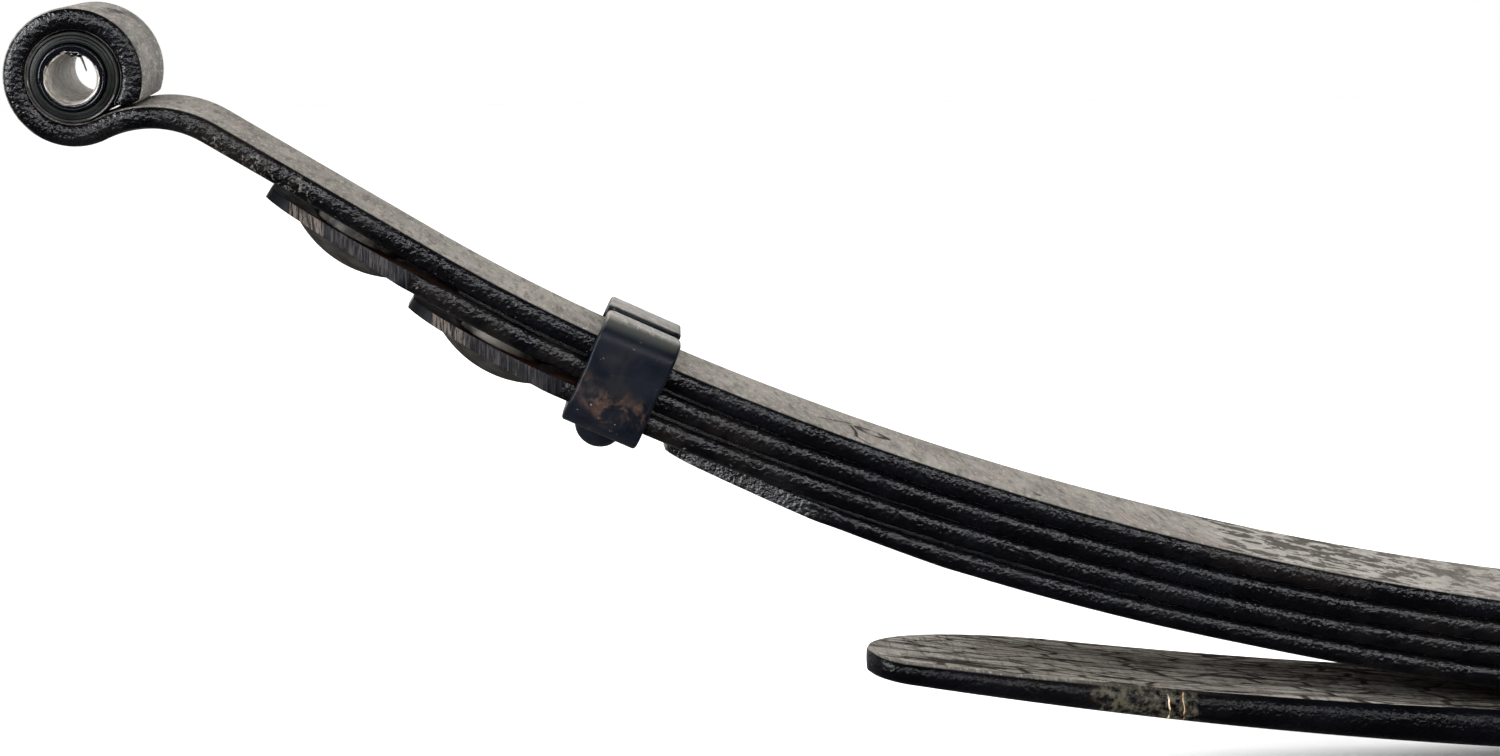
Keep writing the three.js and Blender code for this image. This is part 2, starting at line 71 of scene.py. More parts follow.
# The leaves
LEAF_WIDTH = 60
LEAF_THICKNESS = 7
HALF_THICKNESS = LEAF_THICKNESS / 2
LEAF_PITCH = 7.3
TOUCH_GAP = 0.3
SECOND_LEAF_REACH = 631.4
THIRD_LEAF_REACH = 576.8
FOURTH_LEAF_REACH = 487
REACHES = (0, SECOND_LEAF_REACH, THIRD_LEAF_REACH, FOURTH_LEAF_REACH)
STAND_OFF = 0.65
STAND_OFF_LENGTH = 190
TOP_THINNINGS = (0, 3.4, 3.4, 0)
TOP_THINNING_LENGTH = 62
UNDERSIDE_THINNINGS = (0, 0, 0, 2.2)
UNDERSIDE_THINNING_LENGTH = 90
NOSE_RADIUS = 17
NOSE_TAPER = 52
ROLLED_EDGE_DEPTH = 2.1
SHEARED_EDGE_DEPTH = 0.45
BOLT_HOLE_RADIUS = 5.3

# The main leaf's free shape, from the flat seat outwards: length, and curvature (positive bends upwards)
MAIN_RADIUS = 1069
MAIN_ANGLE = math.radians(24.85)
OUTER_RADIUS = 636
OUTER_ANGLE = math.radians(6.2)
REVERSE_RADIUS = 32.5
REVERSE_ANGLE = math.radians(57.5)
SEAT_HALF_LENGTH = 50
STRAIGHT_LENGTH = 72.9
BENDS = (
    (SEAT_HALF_LENGTH, 0),
    (MAIN_RADIUS * MAIN_ANGLE, 1 / MAIN_RADIUS),
    (OUTER_RADIUS * OUTER_ANGLE, 1 / OUTER_RADIUS),
    (STRAIGHT_LENGTH, 0),
    (REVERSE_RADIUS * REVERSE_ANGLE, -1 / REVERSE_RADIUS),
)
MAIN_REACH = sum(length for length, _ in BENDS)
EYE_INNER_RADIUS = 13.7
EYE_END_INNER_HEADING = 306.5
EYE_END_OUTER_HEADING = 291

# The overload leaf
OVERLOAD_THICKNESS = 13.6
OVERLOAD_REACH = 421
OVERLOAD_BOTTOM_RADIUS = 1985
OVERLOAD_TOP_RADIUS = 2440
OVERLOAD_EDGE_DEPTH = 3.6
OVERLOAD_APEX_Y = -13
OVERLOAD_FAR_LENGTH = 68
OVERLOAD_FAR_POWER = 1.8
OVERLOAD_NEAR_RADIUS = 12

# Pressed cups and their pads
CUP_FROM_NOSE = 30.4
CUP_DEPTH = 6.1
CUP_SPHERE_RADIUS = 35
CUP_WALL = 5.3
CUP_FILLET = 0.5
PAD_RADIUS = 14

# Rebound clips and rivets
CLIP_STATION = 508.5
CLIP_LENGTH = 25
CLIP_THICKNESS = 4.8
CLIP_SKEW = 0.075
CLIP_SIDE_CLEARANCE = 0.5
CLIP_TOP_CLEARANCE = 2.6
CLIP_BOTTOM_CLEARANCE = 0.6
CLIP_LOWER_BEND = 3.6
CLIP_UPPER_BEND = 3.4
CLIP_NEAR_EAR_END = -13
CLIP_FAR_EAR_END = 0
CLIP_CORNER_RADIUS = 4
CLIP_EDGE_RADIUS = 1.1
RIVET_HEAD_RADIUS = 7.8
RIVET_HEAD_HEIGHT = 7.9

# Eye bushes
SHELL_OUTER_RADIUS = 13.4
SHELL_INNER_RADIUS = 12.6
SHELL_HALF = 30.5
RUBBER_OUTER_RADIUS = 12.5
RUBBER_INNER_RADIUS = 10.1
RUBBER_HALF = 31
SLEEVE_OUTER_RADIUS = 10
SLEEVE_BORE_RADIUS = 7.3
SLEEVE_HALF = 32.5

# Centre bolt
BOLT_RADIUS = 5
BOLT_HEAD_RADIUS = 8
BOLT_HEAD_HEIGHT = 7
THREAD_PITCH = 1.5
THREAD_DEPTH = 0.75
THREAD_LENGTH = 26
NUT_ACROSS_FLATS = 17

# Fineness of the meshes
BODY_STEP = 5
TIP_STEP = 1.3
TIP_LENGTH = 66
EDGE_POINTS = 10
ROUND_POINTS = 96
TAIL_BEADS = 14

SIDES = {"front": -1, "rear": 1}


# ---- The spring's line ---------------------------------------------------------------------------

EYE = {}
for joint in frame["joints"]:
    EYE[joint["child"].split("_")[0]] = Vector(joint["pos_m"])
MAIN_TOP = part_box("centre_nut")[0].z / MM - TOUCH_GAP
MAIN_MIDDLE = MAIN_TOP - HALF_THICKNESS


def line_at(distance):
    """Place and slope on the main leaf's centreline, at a developed distance from the centre bolt."""
    x, z, slope = 0.0, MAIN_MIDDLE, 0.0
    left = distance
    for length, curvature in BENDS:
        step = min(left, length)
        if curvature == 0:
            x += step * math.cos(slope)
            z += step * math.sin(slope)
        else:
            turn = curvature * step
            x += (math.sin(slope + turn) - math.sin(slope)) / curvature
            z += (math.cos(slope) - math.cos(slope + turn)) / curvature
            slope += turn
        left -= step
        if left <= 0:
            break
    return x, z, slope


def beside_line(distance, offset):
    x, z, slope = line_at(distance)
    return x - math.sin(slope) * offset, z + math.cos(slope) * offset


def drop_of(leaf, distance):
    """How far a lower leaf's middle lies under the main leaf's, with a slight gap before its nose."""
    drop = leaf * LEAF_PITCH
    for i in range(1, leaf + 1):
        share = (REACHES[i] - distance) / STAND_OFF_LENGTH
        if 0 < share < 1:
            drop += STAND_OFF * 4 * share * (1 - share)
    return drop


def thinned(amount, length, from_nose):
    """A tip is thinned towards its nose, quickly at first and then less."""
    return amount * (1 - min(1.0, from_nose / length) ** 2)


def top_offset(leaf, distance):
    cut = thinned(TOP_THINNINGS[leaf], TOP_THINNING_LENGTH, REACHES[leaf] - distance)
    return HALF_THICKNESS - drop_of(leaf, distance) - cut


def bottom_offset(leaf, distance):
    cut = thinned(UNDERSIDE_THINNINGS[leaf], UNDERSIDE_THINNING_LENGTH, REACHES[leaf] - distance)
    return -HALF_THICKNESS - drop_of(leaf, distance) + cut


def line_frame(distance, offset, side):
    """Matrix whose Z stands square to the spring's line and whose X runs outwards along it."""
    x, z = beside_line(distance, offset)
    slope = line_at(distance)[2]
    turn = Matrix.Rotation(-slope, 4, "Y")
    matrix = Matrix.Translation((x * MM, 0, z * MM)) @ turn
    if side < 0:
        matrix = Matrix.Scale(-1, 4, (1, 0, 0)) @ matrix
    return matrix


def smooth_step(value, low, high):
    t = min(1.0, max(0.0, (value - low) / (high - low)))
    return t * t * (3 - 2 * t)


# ---- Meshes --------------------------------------------------------------------------------------


def finish_piece(bm, name, body, nodes, materials, sharp=38):
    """Turns a bmesh into a named, smooth piece with crisp creases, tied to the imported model."""
    bmesh.ops.remove_doubles(bm, verts=bm.verts, dist=1e-6)
    bmesh.ops.recalc_face_normals(bm, faces=bm.faces)
    for face in bm.faces:
        face.smooth = True
    for edge in bm.edges:
        if len(edge.link_faces) == 2 and edge.calc_face_angle(0) > math.radians(sharp):
            edge.smooth = False
    mesh = bpy.data.meshes.new(name)
    bm.to_mesh(mesh)
    bm.free()
    piece = bpy.data.objects.new(name, mesh)
    bpy.context.scene.collection.objects.link(piece)
    for material in materials:
        mesh.materials.append(material)
    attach(piece, body)
    if nodes:
        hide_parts(*nodes)
    return piece


def skin(bm, rings, material_of=None, cap=True):
    """Faces between rings of points with equal counts, closed at both ends."""
    rows = [[bm.verts.new(point) for point in ring] for ring in rings]
    count = len(rows[0])
    for i in range(len(rows) - 1):
        for j in range(count):
            k = (j + 1) % count
            face = bm.faces.new((rows[i][j], rows[i][k], rows[i + 1][k], rows[i + 1][j]))
            if material_of:
                face.material_index = material_of(i, j)
    if cap:
        bm.faces.new(rows[0][::-1])
        bm.faces.new(rows[-1])


def turned(bm, profile, matrix, segments=ROUND_POINTS, wobble=None):
    """A closed profile of (radius, height) turned about Z and placed by a matrix."""
    rings = []
    for i in range(segments):
        angle = 2 * math.pi * i / segments
        ring = []
        for radius, height in profile:
            r = radius + (wobble(angle, radius, height) if wobble and radius > 0 else 0)
            ring.append(matrix @ Vector((r * math.cos(angle) * MM, r * math.sin(angle) * MM, height * MM)))
        rings.append(ring)
    rings.append(rings[0])
    skin(bm, rings, cap=False)
    bmesh.ops.remove_doubles(bm, verts=bm.verts, dist=1e-7)
    bmesh.ops.dissolve_degenerate(bm, edges=bm.edges, dist=1e-7)


def cut_bolt_hole(piece):
    """Bores the centre bolt's hole through a leaf."""
    bm = bmesh.new()
    bore = Matrix.Translation((0, 0, MAIN_TOP / 2 * MM))
    bmesh.ops.create_cone(
        bm, cap_ends=True, segments=48, radius1=BOLT_HOLE_RADIUS * MM, radius2=BOLT_HOLE_RADIUS * MM,
        depth=(MAIN_TOP + 40) * MM, matrix=bore,
    )
    mesh = bpy.data.meshes.new("bolt_bore")
    bm.to_mesh(mesh)
    bm.free()
    cutter = bpy.data.objects.new("bolt_bore", mesh)
    bpy.context.scene.collection.objects.link(cutter)
    hole = piece.modifiers.new("bolt hole", "BOOLEAN")
    hole.operation = "DIFFERENCE"
    hole.solver = "EXACT"
    hole.object = cutter
    bpy.context.view_layer.update()
    evaluated = piece.evaluated_get(bpy.context.evaluated_depsgraph_get())
    cut = bpy.data.meshes.new_from_object(evaluated)
    piece.modifiers.clear()
    piece.data = cut
    bpy.data.objects.remove(cutter)


def edge_shape(depth, power):
    """Points down a bar's long edge: how far each lies inside the width, and its height from -1 to 1."""
    points = []
    for i in range(EDGE_POINTS + 1):
        height = math.cos(math.pi * i / EDGE_POINTS)
        inside = depth * (1 - (1 - abs(height) ** power) ** (1 / power))
        points.append((inside, height))
    return points


def on_top(j, across):
    """Whether a bar ring's face j lies on the bar's flat top."""
    return j >= 2 * EDGE_POINTS + across


ROLLED = edge_shape(1, 2.3)
SHEARED = edge_shape(1, 9)


def bar_ring(low_y, high_y, top, bottom, roll, depth, across, surface=None):
    """A flat bar's section as (y, height) points. roll is 1 for rolled edges and 0 for sheared ones."""
    low_y, high_y = low_y + SKIN, high_y - SKIN
    middle, half = (top + bottom) / 2, (top - bottom) / 2 - SKIN
    bite = min(roll * depth + (1 - roll) * SHEARED_EDGE_DEPTH, (high_y - low_y) * 0.45)
    edge = []
    for (rolled, height), (sheared, _) in zip(ROLLED, SHEARED):
        edge.append((bite * (roll * rolled + (1 - roll) * sheared), middle + half * height))
    ring = [(high_y - inside, height) for inside, height in edge]
    inner_low, inner_high = low_y + bite, high_y - bite
    row = [inner_high + (inner_low - inner_high) * i / across for i in range(1, across)]
    ring += [(y, middle - half) for y in row]
    ring += [(low_y + inside, height) for inside, height in reversed(edge)]
    ring += [(y, middle + half) for y in reversed(row)]
    if surface:
        ring = [(y, surface(y, height)) for y, height in ring]
    return ring


def leaf_stations(reach, tip_step=TIP_STEP, tip_length=TIP_LENGTH, nose=0.0):
    """Distances from the middle outwards: even along the body, finer at the tip, finest round the nose."""
    stations = []
    count = round((reach - tip_length) / BODY_STEP)
    stations += [(reach - tip_length) * i / count for i in range(count)]
    count = round((tip_length - nose) / tip_step)
    stations += [reach - tip_length + (tip_length - nose) * i / count for i in range(count)]
    if nose:
        turns = 22
        stations += [reach - nose * math.cos(math.pi / 2 * i / turns) for i in range(turns)]
    stations.append(reach - SKIN)
    return stations


def whole_leaf(sections):
    """Sections of one half from the middle outwards, mirrored to the front half as well."""
    front = [[Vector((-x, y, z)) for x, y, z in ring] for ring in sections[:0:-1]]
    rear = [[Vector(point) for point in ring] for ring in sections]
    return [[p * MM for p in ring] for ring in front + rear]


def on_line(distance, ring):
    """Places a (y, offset) ring on the spring's line."""
    x, z, slope = line_at(distance)
    sine, cosine = math.sin(slope), math.cos(slope)
    return [(x - sine * offset, y, z + cosine * offset) for y, offset in ring]


# ---- Leaves --------------------------------------------------------------------------------------


def eye_rings(eye_x, eye_z, across):
    """The leaf rolled up and over into its eye. The cut end is skewed to lie along the leaf below it."""
    start = math.degrees(line_at(MAIN_REACH)[2])
    middle_radius = EYE_INNER_RADIUS + HALF_THICKNESS
    last = (EYE_END_INNER_HEADING + EYE_END_OUTER_HEADING) / 2
    skew = (EYE_END_INNER_HEADING - EYE_END_OUTER_HEADING) / LEAF_THICKNESS
    count = 110
    rings = []
    for i in range(1, count + 1):
        heading = start + (last - start) * i / count
        lean = skew * smooth_step(heading, last - 12, last)
        shrink = 0.5 * smooth_step(heading, last - 1.6, last)
        half = LEAF_WIDTH / 2 - shrink
        face = HALF_THICKNESS - shrink
        ring = bar_ring(-half, half, face, -face, 1, ROLLED_EDGE_DEPTH, across)
        placed = []
        for y, offset in ring:
            angle = math.radians(heading + lean * offset)
            radius = middle_radius - offset
            placed.append((eye_x + radius * math.sin(angle), y, eye_z - radius * math.cos(angle)))
        rings.append(placed)
    return rings


def main_leaf(materials):
    """The top leaf with its eyes. Its flat top takes the second material."""
    across = 14
    stations = leaf_stations(MAIN_REACH, 1.5, 150)
    stations[-1] = MAIN_REACH
    sections = []
    for distance in stations:
        half = LEAF_WIDTH / 2
        ring = bar_ring(-half, half, HALF_THICKNESS, -HALF_THICKNESS, 1, ROLLED_EDGE_DEPTH, across)
        sections.append(on_line(distance, ring))
    eye = EYE["rear"] / MM
    sections += eye_rings(eye.x, eye.z, across)
    bm = bmesh.new()
    skin(bm, whole_leaf(sections), lambda i, j: int(on_top(j, across)))
    piece = finish_piece(bm, "main_leaf_fine", "spring", ["main_leaf"], materials)
    cut_bolt_hole(piece)


def spear_half_width(x, nose_x, slope):
    """Half width of a trimmed tip in plan, at a distance along X: straight tapers into a round nose."""
    full = LEAF_WIDTH / 2
    centre = nose_x - NOSE_RADIUS
    shoulder = nose_x - NOSE_TAPER * math.cos(slope)
    run = centre - shoulder
    tilt = math.atan2(run, full + 1) - math.acos(NOSE_RADIUS / math.hypot(run, full + 1))
    tangent = math.pi / 2 + tilt
    meet_x, meet_y = centre + NOSE_RADIUS * math.cos(tangent), NOSE_RADIUS * math.sin(tangent)
    if x < meet_x:
        taper = meet_y + (full + 1 - meet_y) * (meet_x - x) / (meet_x - shoulder)
        return min(full, taper)
    return math.sqrt(max(0.0, NOSE_RADIUS**2 - (x - centre) ** 2))


def cup_surface(leaf, distance):
    """Pushes a leaf's faces into the pressed cup: a dome under the leaf and a pocket in its top."""
    station = REACHES[leaf] - CUP_FROM_NOSE
    centre = bottom_offset(leaf, station) - CUP_DEPTH + CUP_SPHERE_RADIUS
    along = distance - station
    top, bottom = top_offset(leaf, distance), bottom_offset(leaf, distance)
    middle, half = (top + bottom) / 2, (top - bottom) / 2

    def surface(y, height):
        reach = math.hypot(along, y)
        if reach > CUP_SPHERE_RADIUS * 0.7:
            return height
        if height < middle:
            dome = centre - math.sqrt(CUP_SPHERE_RADIUS**2 - reach**2)
            gap = height - dome
            lift = (gap + math.sqrt(gap * gap + CUP_FILLET**2)) / 2
            share = smooth_step(middle - height, half * 0.55, half * 0.95)
            return height - lift * share if gap > -3 else height
        inner = CUP_SPHERE_RADIUS - CUP_WALL
        if reach > inner * 0.9:
            return height
        pocket = centre - math.sqrt(inner**2 - reach**2)
        gap = height - pocket
        sink = (gap + math.sqrt(gap * gap + CUP_FILLET**2)) / 2
        share = smooth_step(height - middle, half * 0.55, half * 0.95)
        return height - sink * share if gap > -3 else height

    return surface


def lower_leaf(name, leaf, materials):
    """A leaf with spear-shaped tips. Sheared walls take the second material, tip faces the third."""
    reach = REACHES[leaf]
    cupped = TOP_THINNINGS[leaf] > 0
    across = 46 if cupped else 12
    nose_x = beside_line(reach, bottom_offset(leaf, reach))[0]
    slope = line_at(reach)[2]
    stations = leaf_stations(reach, TIP_STEP if cupped else 2.5, TIP_LENGTH, NOSE_RADIUS)
    sections, sheared = [], []
    for distance in stations:
        top, bottom = top_offset(leaf, distance), bottom_offset(leaf, distance)
        x = beside_line(distance, (top + bottom) / 2)[0]
        half = spear_half_width(x, nose_x, slope) if distance > reach - TIP_LENGTH else LEAF_WIDTH / 2
        half = max(half, 0.2)
        roll = 1 - smooth_step(distance, reach - 56, reach - 46)
        wave = (1 - roll) * 0.25 * noise.noise(Vector((distance * 0.35, leaf * 9.1, 0)))
        surface = cup_surface(leaf, distance) if cupped and distance > reach - TIP_LENGTH else None
        ring = bar_ring(-half - wave, half + wave, top, bottom, roll, ROLLED_EDGE_DEPTH, across, surface)
        sections.append(on_line(distance, ring))
        sheared.append(roll < 0.5)
    bm = bmesh.new()
    middle = len(sections) - 1
    walls = set(range(EDGE_POINTS)) | set(range(EDGE_POINTS + across, 2 * EDGE_POINTS + across))

    def material_of(i, j):
        station = min(middle, i - middle if i >= middle else middle - i - 1)
        if j in walls:
            return 1 if sheared[station] else 0
        return 2 if stations[station] > reach - TIP_LENGTH else 0

    skin(bm, whole_leaf(sections), material_of)
    piece = finish_piece(bm, name + "_fine", "spring", [name], materials, sharp=50)
    cut_bolt_hole(piece)


def overload_half_widths(x):
    """The overload leaf's edges in plan: a small round corner on its right, a long taper on its left."""
    low, high = -LEAF_WIDTH / 2, LEAF_WIDTH / 2
    corner = x - (OVERLOAD_REACH - OVERLOAD_NEAR_RADIUS)
    if corner > 0:
        low += OVERLOAD_NEAR_RADIUS - math.sqrt(max(0.0, OVERLOAD_NEAR_RADIUS**2 - corner**2))
    taper = (x - (OVERLOAD_REACH - OVERLOAD_FAR_LENGTH)) / OVERLOAD_FAR_LENGTH
    if taper > 0:
        share = (1 - min(1.0, taper) ** OVERLOAD_FAR_POWER) ** (1 / OVERLOAD_FAR_POWER)
        high = OVERLOAD_APEX_Y + (high - OVERLOAD_APEX_Y) * share
    return low, high


def overload_leaf(materials):
    """The thick bottom leaf. Its flat top takes the second material."""
    sections = []
    across = 14
    turns = 26
    nose = 30
    stations = [SEAT_HALF_LENGTH * i / 5 for i in range(5)]
    bent = OVERLOAD_REACH - nose - SEAT_HALF_LENGTH
    count = round(bent / BODY_STEP)
    stations += [SEAT_HALF_LENGTH + bent * i / count for i in range(count)]
    stations += [OVERLOAD_REACH - nose * math.cos(math.pi / 2 * i / turns) for i in range(turns)]
    stations.append(OVERLOAD_REACH - SKIN)
    for x in stations:
        beyond = max(0.0, x - SEAT_HALF_LENGTH)
        top = OVERLOAD_THICKNESS + beyond**2 / (2 * OVERLOAD_TOP_RADIUS)
        bottom = beyond**2 / (2 * OVERLOAD_BOTTOM_RADIUS)
        low, high = overload_half_widths(x)
        depth = min(OVERLOAD_EDGE_DEPTH, (top - bottom) * 0.42)
        ring = bar_ring(low, high, top, bottom, 1, depth, across)
        sections.append([(x, y, height) for y, height in ring])
    bm = bmesh.new()
    skin(bm, whole_leaf(sections), lambda i, j: int(on_top(j, across)))
    piece = finish_piece(bm, "overload_leaf_fine", "spring", ["overload_leaf"], materials)
    cut_bolt_hole(piece)


# ---- Pads, clips, rivets -------------------------------------------------------------------------


def silencer_pad(name, leaf, side, materials):
    """A moulded disc in a pressed cup, its rim standing up to the leaf above."""
    station = REACHES[leaf] - CUP_FROM_NOSE
    centre = bottom_offset(leaf, station) - CUP_DEPTH + CUP_SPHERE_RADIUS
    under = CUP_SPHERE_RADIUS - CUP_WALL - 0.8
    top = bottom_offset(leaf - 1, station) - 2 * TOUCH_GAP
    profile = []
    for i in range(13):
        radius = PAD_RADIUS * i / 12
        profile.append((radius, centre - math.sqrt(under**2 - radius**2)))
    profile += [(PAD_RADIUS, top - 0.9), (PAD_RADIUS - 0.25, top - 0.35), (PAD_RADIUS - 0.9, top)]
    profile += [(PAD_RADIUS - 3.2, top), (PAD_RADIUS - 4, top - 0.6), (0, top - 0.6)]
    bm = bmesh.new()
    turned(bm, profile, line_frame(station, 0, side), 64)
    finish_piece(bm, name + "_fine", "spring", [name], materials)


def clip_path():
    """The clip's middle line as (y, offset, direction), from the near ear to the far one."""
    half = CLIP_THICKNESS / 2
    side = LEAF_WIDTH / 2 + CLIP_SIDE_CLEARANCE + half
    top = HALF_THICKNESS + CLIP_TOP_CLEARANCE + half
    bottom = bottom_offset(2, CLIP_STATION) - CLIP_BOTTOM_CLEARANCE - half
    upper, lower = CLIP_UPPER_BEND + half, CLIP_LOWER_BEND + half
    corners = (
        (-side + upper, top - upper, upper, 90),
        (-side + lower, bottom + lower, lower, 180),
        (side - lower, bottom + lower, lower, 270),
        (side - upper, top - upper, upper, 360),
    )
    path = []
    reach = -side + upper - CLIP_NEAR_EAR_END
    for i in range(14):
        path.append((CLIP_NEAR_EAR_END + reach * (i / 14) ** 1.6, top, 180))
    for index, (y, offset, radius, start) in enumerate(corners):
        for i in range(13):
            angle = start + 90 * i / 12
            turn = math.radians(angle)
            path.append((y + radius * math.cos(turn), offset + radius * math.sin(turn), angle + 90))
        if index < 3:
            y0, offset0, direction = path[-1]
            y1, offset1, radius1, start1 = corners[index + 1]
            turn = math.radians(start1)
            end = (y1 + radius1 * math.cos(turn), offset1 + radius1 * math.sin(turn))
            for i in range(1, 8):
                share = i / 8
                path.append((y0 + (end[0] - y0) * share, offset0 + (end[1] - offset0) * share, direction))
    reach = side - upper - CLIP_FAR_EAR_END
    for i in range(1, 15):
        path.append((side - upper - reach * (1 - (1 - i / 14) ** 1.6), top, 540))
    return path


def rebound_clip(name, side, materials):
    """A strap swept round the leaves, with eased edges, rounded ear corners and slightly waisted plates."""
    path = clip_path()
    lengths = [0.0]
    for (y0, h0, _), (y1, h1, _) in zip(path, path[1:]):
        lengths.append(lengths[-1] + math.hypot(y1 - y0, h1 - h0))
    matrix = line_frame(CLIP_STATION, 0, side)
    bm = bmesh.new()
    rings = []
    easing = 5
    for (y, offset, direction), done in zip(path, lengths):
        end = min(done, lengths[-1] - done)
        half = CLIP_LENGTH / 2 - SKIN
        if end < CLIP_CORNER_RADIUS:
            inside = CLIP_CORNER_RADIUS - end
            half -= CLIP_CORNER_RADIUS - math.sqrt(max(0.0, CLIP_CORNER_RADIUS**2 - inside**2))
        half -= 0.35 * smooth_step(abs(offset + 9), 12, 3) * (abs(y) > LEAF_WIDTH / 2)
        half += 0.12 * noise.noise(Vector((y * 0.2, offset * 0.2, side * 3)))
        turn = math.radians(direction)
        across = (-math.sin(turn), math.cos(turn))
        thick = CLIP_THICKNESS / 2 - SKIN - 0.5 * max(0.0, 1 - end / 0.8)
        ring = []
        for corner_x, corner_t, start in ((1, 1, 0), (-1, 1, 90), (-1, -1, 180), (1, -1, 270)):
            for i in range(easing + 1):
                angle = math.radians(start + 90 * i / easing)
                along = corner_x * (half - CLIP_EDGE_RADIUS) + CLIP_EDGE_RADIUS * math.cos(angle)
                out = corner_t * (thick - CLIP_EDGE_RADIUS) + CLIP_EDGE_RADIUS * math.sin(angle)
                place_y = y + across[0] * out
                point = Vector((along - CLIP_SKEW * place_y, place_y, offset + across[1] * out))
                ring.append(matrix @ (point * MM))
        rings.append(ring)
    skin(bm, rings)
    finish_piece(bm, name + "_fine", "spring", [name], materials, sharp=50)


def clip_rivet(name, side, materials):
    """The rivet's round head under the strap, with a faint burr where it was closed."""
    seat = bottom_offset(2, CLIP_STATION) - CLIP_BOTTOM_CLEARANCE - CLIP_THICKNESS - TOUCH_GAP / 2
    profile = [(0, seat - RIVET_HEAD_HEIGHT)]
    for i in range(1, 15):
        angle = math.pi / 2 * i / 14
        height = seat - RIVET_HEAD_HEIGHT * math.cos(angle) ** 0.9
        profile.append((RIVET_HEAD_RADIUS * math.sin(angle), height))
    profile += [(RIVET_HEAD_RADIUS - 0.3, seat + 0.1), (0, seat + 0.1)]
    bm = bmesh.new()
    turned(bm, profile, line_frame(CLIP_STATION, 0, side), 64)
    finish_piece(bm, name + "_fine", "spring", [name], materials)


# ---- Bushes --------------------------------------------------------------------------------------


def eye_frame(end):
    """Matrix whose Z runs along an eye's axis."""
    return Matrix.Translation(EYE[end]) @ Matrix.Rotation(math.pi / 2, 4, "X")


def mirrored_profile(outer, half):
    """A tube's closed profile, from the (radius, inset) points of one end, bore first."""
    lower = [(radius, -half + inset) for radius, inset in outer]
    upper = [(radius, half - inset) for radius, inset in reversed(outer)]
    return lower + upper + [lower[0]]


def bush(end, steel, rubber, sleeve, drip):
    matrix = eye_frame(end)
    bm = bmesh.new()
    lip = [(SHELL_INNER_RADIUS, 1.5), (SHELL_INNER_RADIUS, 0.25), (SHELL_INNER_RADIUS + 0.2, 0.04)]
    outside = SHELL_OUTER_RADIUS - SKIN
    lip += [(SHELL_OUTER_RADIUS - 0.25, 0.04), (outside, 0.25), (outside, 1.5)]
    turned(bm, mirrored_profile(lip, SHELL_HALF), matrix)
    finish_piece(bm, f"{end}_bush_shell_fine", "spring", [f"{end}_bush_shell"], [steel])

    inner = RUBBER_INNER_RADIUS
    face = [(inner, 0.9), (inner + 0.1, 0.45), (inner + 0.35, 0.15)]
    face += [(11.1, 0.06), (11.35, 0.16), (11.5, 0.45), (11.7, 0.62), (11.9, 0.66), (12.2, 0.7)]
    face += [(RUBBER_OUTER_RADIUS - 0.05, 0.95), (RUBBER_OUTER_RADIUS, 1.6)]
    bm = bmesh.new()
    turned(bm, mirrored_profile(face, RUBBER_HALF), matrix)
    finish_piece(bm, f"{end}_bush_rubber_fine", "spring", [f"{end}_bush_rubber"], [rubber])

    bore, outer = SLEEVE_BORE_RADIUS, SLEEVE_OUTER_RADIUS
    rim = [(bore, 4), (bore, 1.3), (bore + 0.25, 0.75), (bore + 0.75, 0.16), (bore + 1.0, 0.06)]
    rim += [(8.75, 0.05), (8.9, 0.22), (9.05, 0.22), (9.2, 0.08)]
    rim += [(outer - 0.6, 0.06), (outer - 0.35, 0.2), (outer - 0.1, 0.6), (outer - 0.05, 1.2)]
    bm = bmesh.new()

    def rough(angle, radius, height):
        return 0.06 * noise.noise(Vector((math.cos(angle) * 3, math.sin(angle) * 3, height * 0.3)))

    turned(bm, mirrored_profile(rim, SLEEVE_HALF), matrix, wobble=rough)
    body = f"{end}_sleeve"
    finish_piece(bm, f"{end}_bush_sleeve_fine", body, [f"{end}_bush_sleeve"], [sleeve])
    if end == "front":
        paint_drip(body, drip)


def paint_drip(body, material):
    """A run of black paint at the mouth of the front sleeve's bore, with a thin hanging tail."""
    beads = [(1.0, 7.35, 2.0, 1.0), (-0.9, 7.6, 1.3, 0.6), (2.5, 6.8, 0.95, 0.85), (0.4, 6.8, 0.8, 0.7)]
    for i in range(TAIL_BEADS):
        share = i / (TAIL_BEADS - 1)
        beads.append((2.8 + 1.5 * share**0.8, 6.2 - 3.9 * share, 0.36 - 0.14 * share, 0.42))
    bm = bmesh.new()
    for along, height, width, length in beads:
        place = Matrix.Translation(EYE["front"] + Vector((along, 1.1 - SLEEVE_HALF, height)) * MM)
        size = Matrix.Diagonal((width * MM, min(0.9, width * 1.4) * MM, length * MM, 1))
        bmesh.ops.create_icosphere(bm, subdivisions=3, radius=1, matrix=place @ size)
    for vertex in bm.verts:
        vertex.co += vertex.normal * 0.1 * MM * noise.noise(vertex.co / (0.8 * MM))
    finish_piece(bm, "front_bore_paint_run", body, [], [material], sharp=180)


# ---- Centre bolt ---------------------------------------------------------------------------------


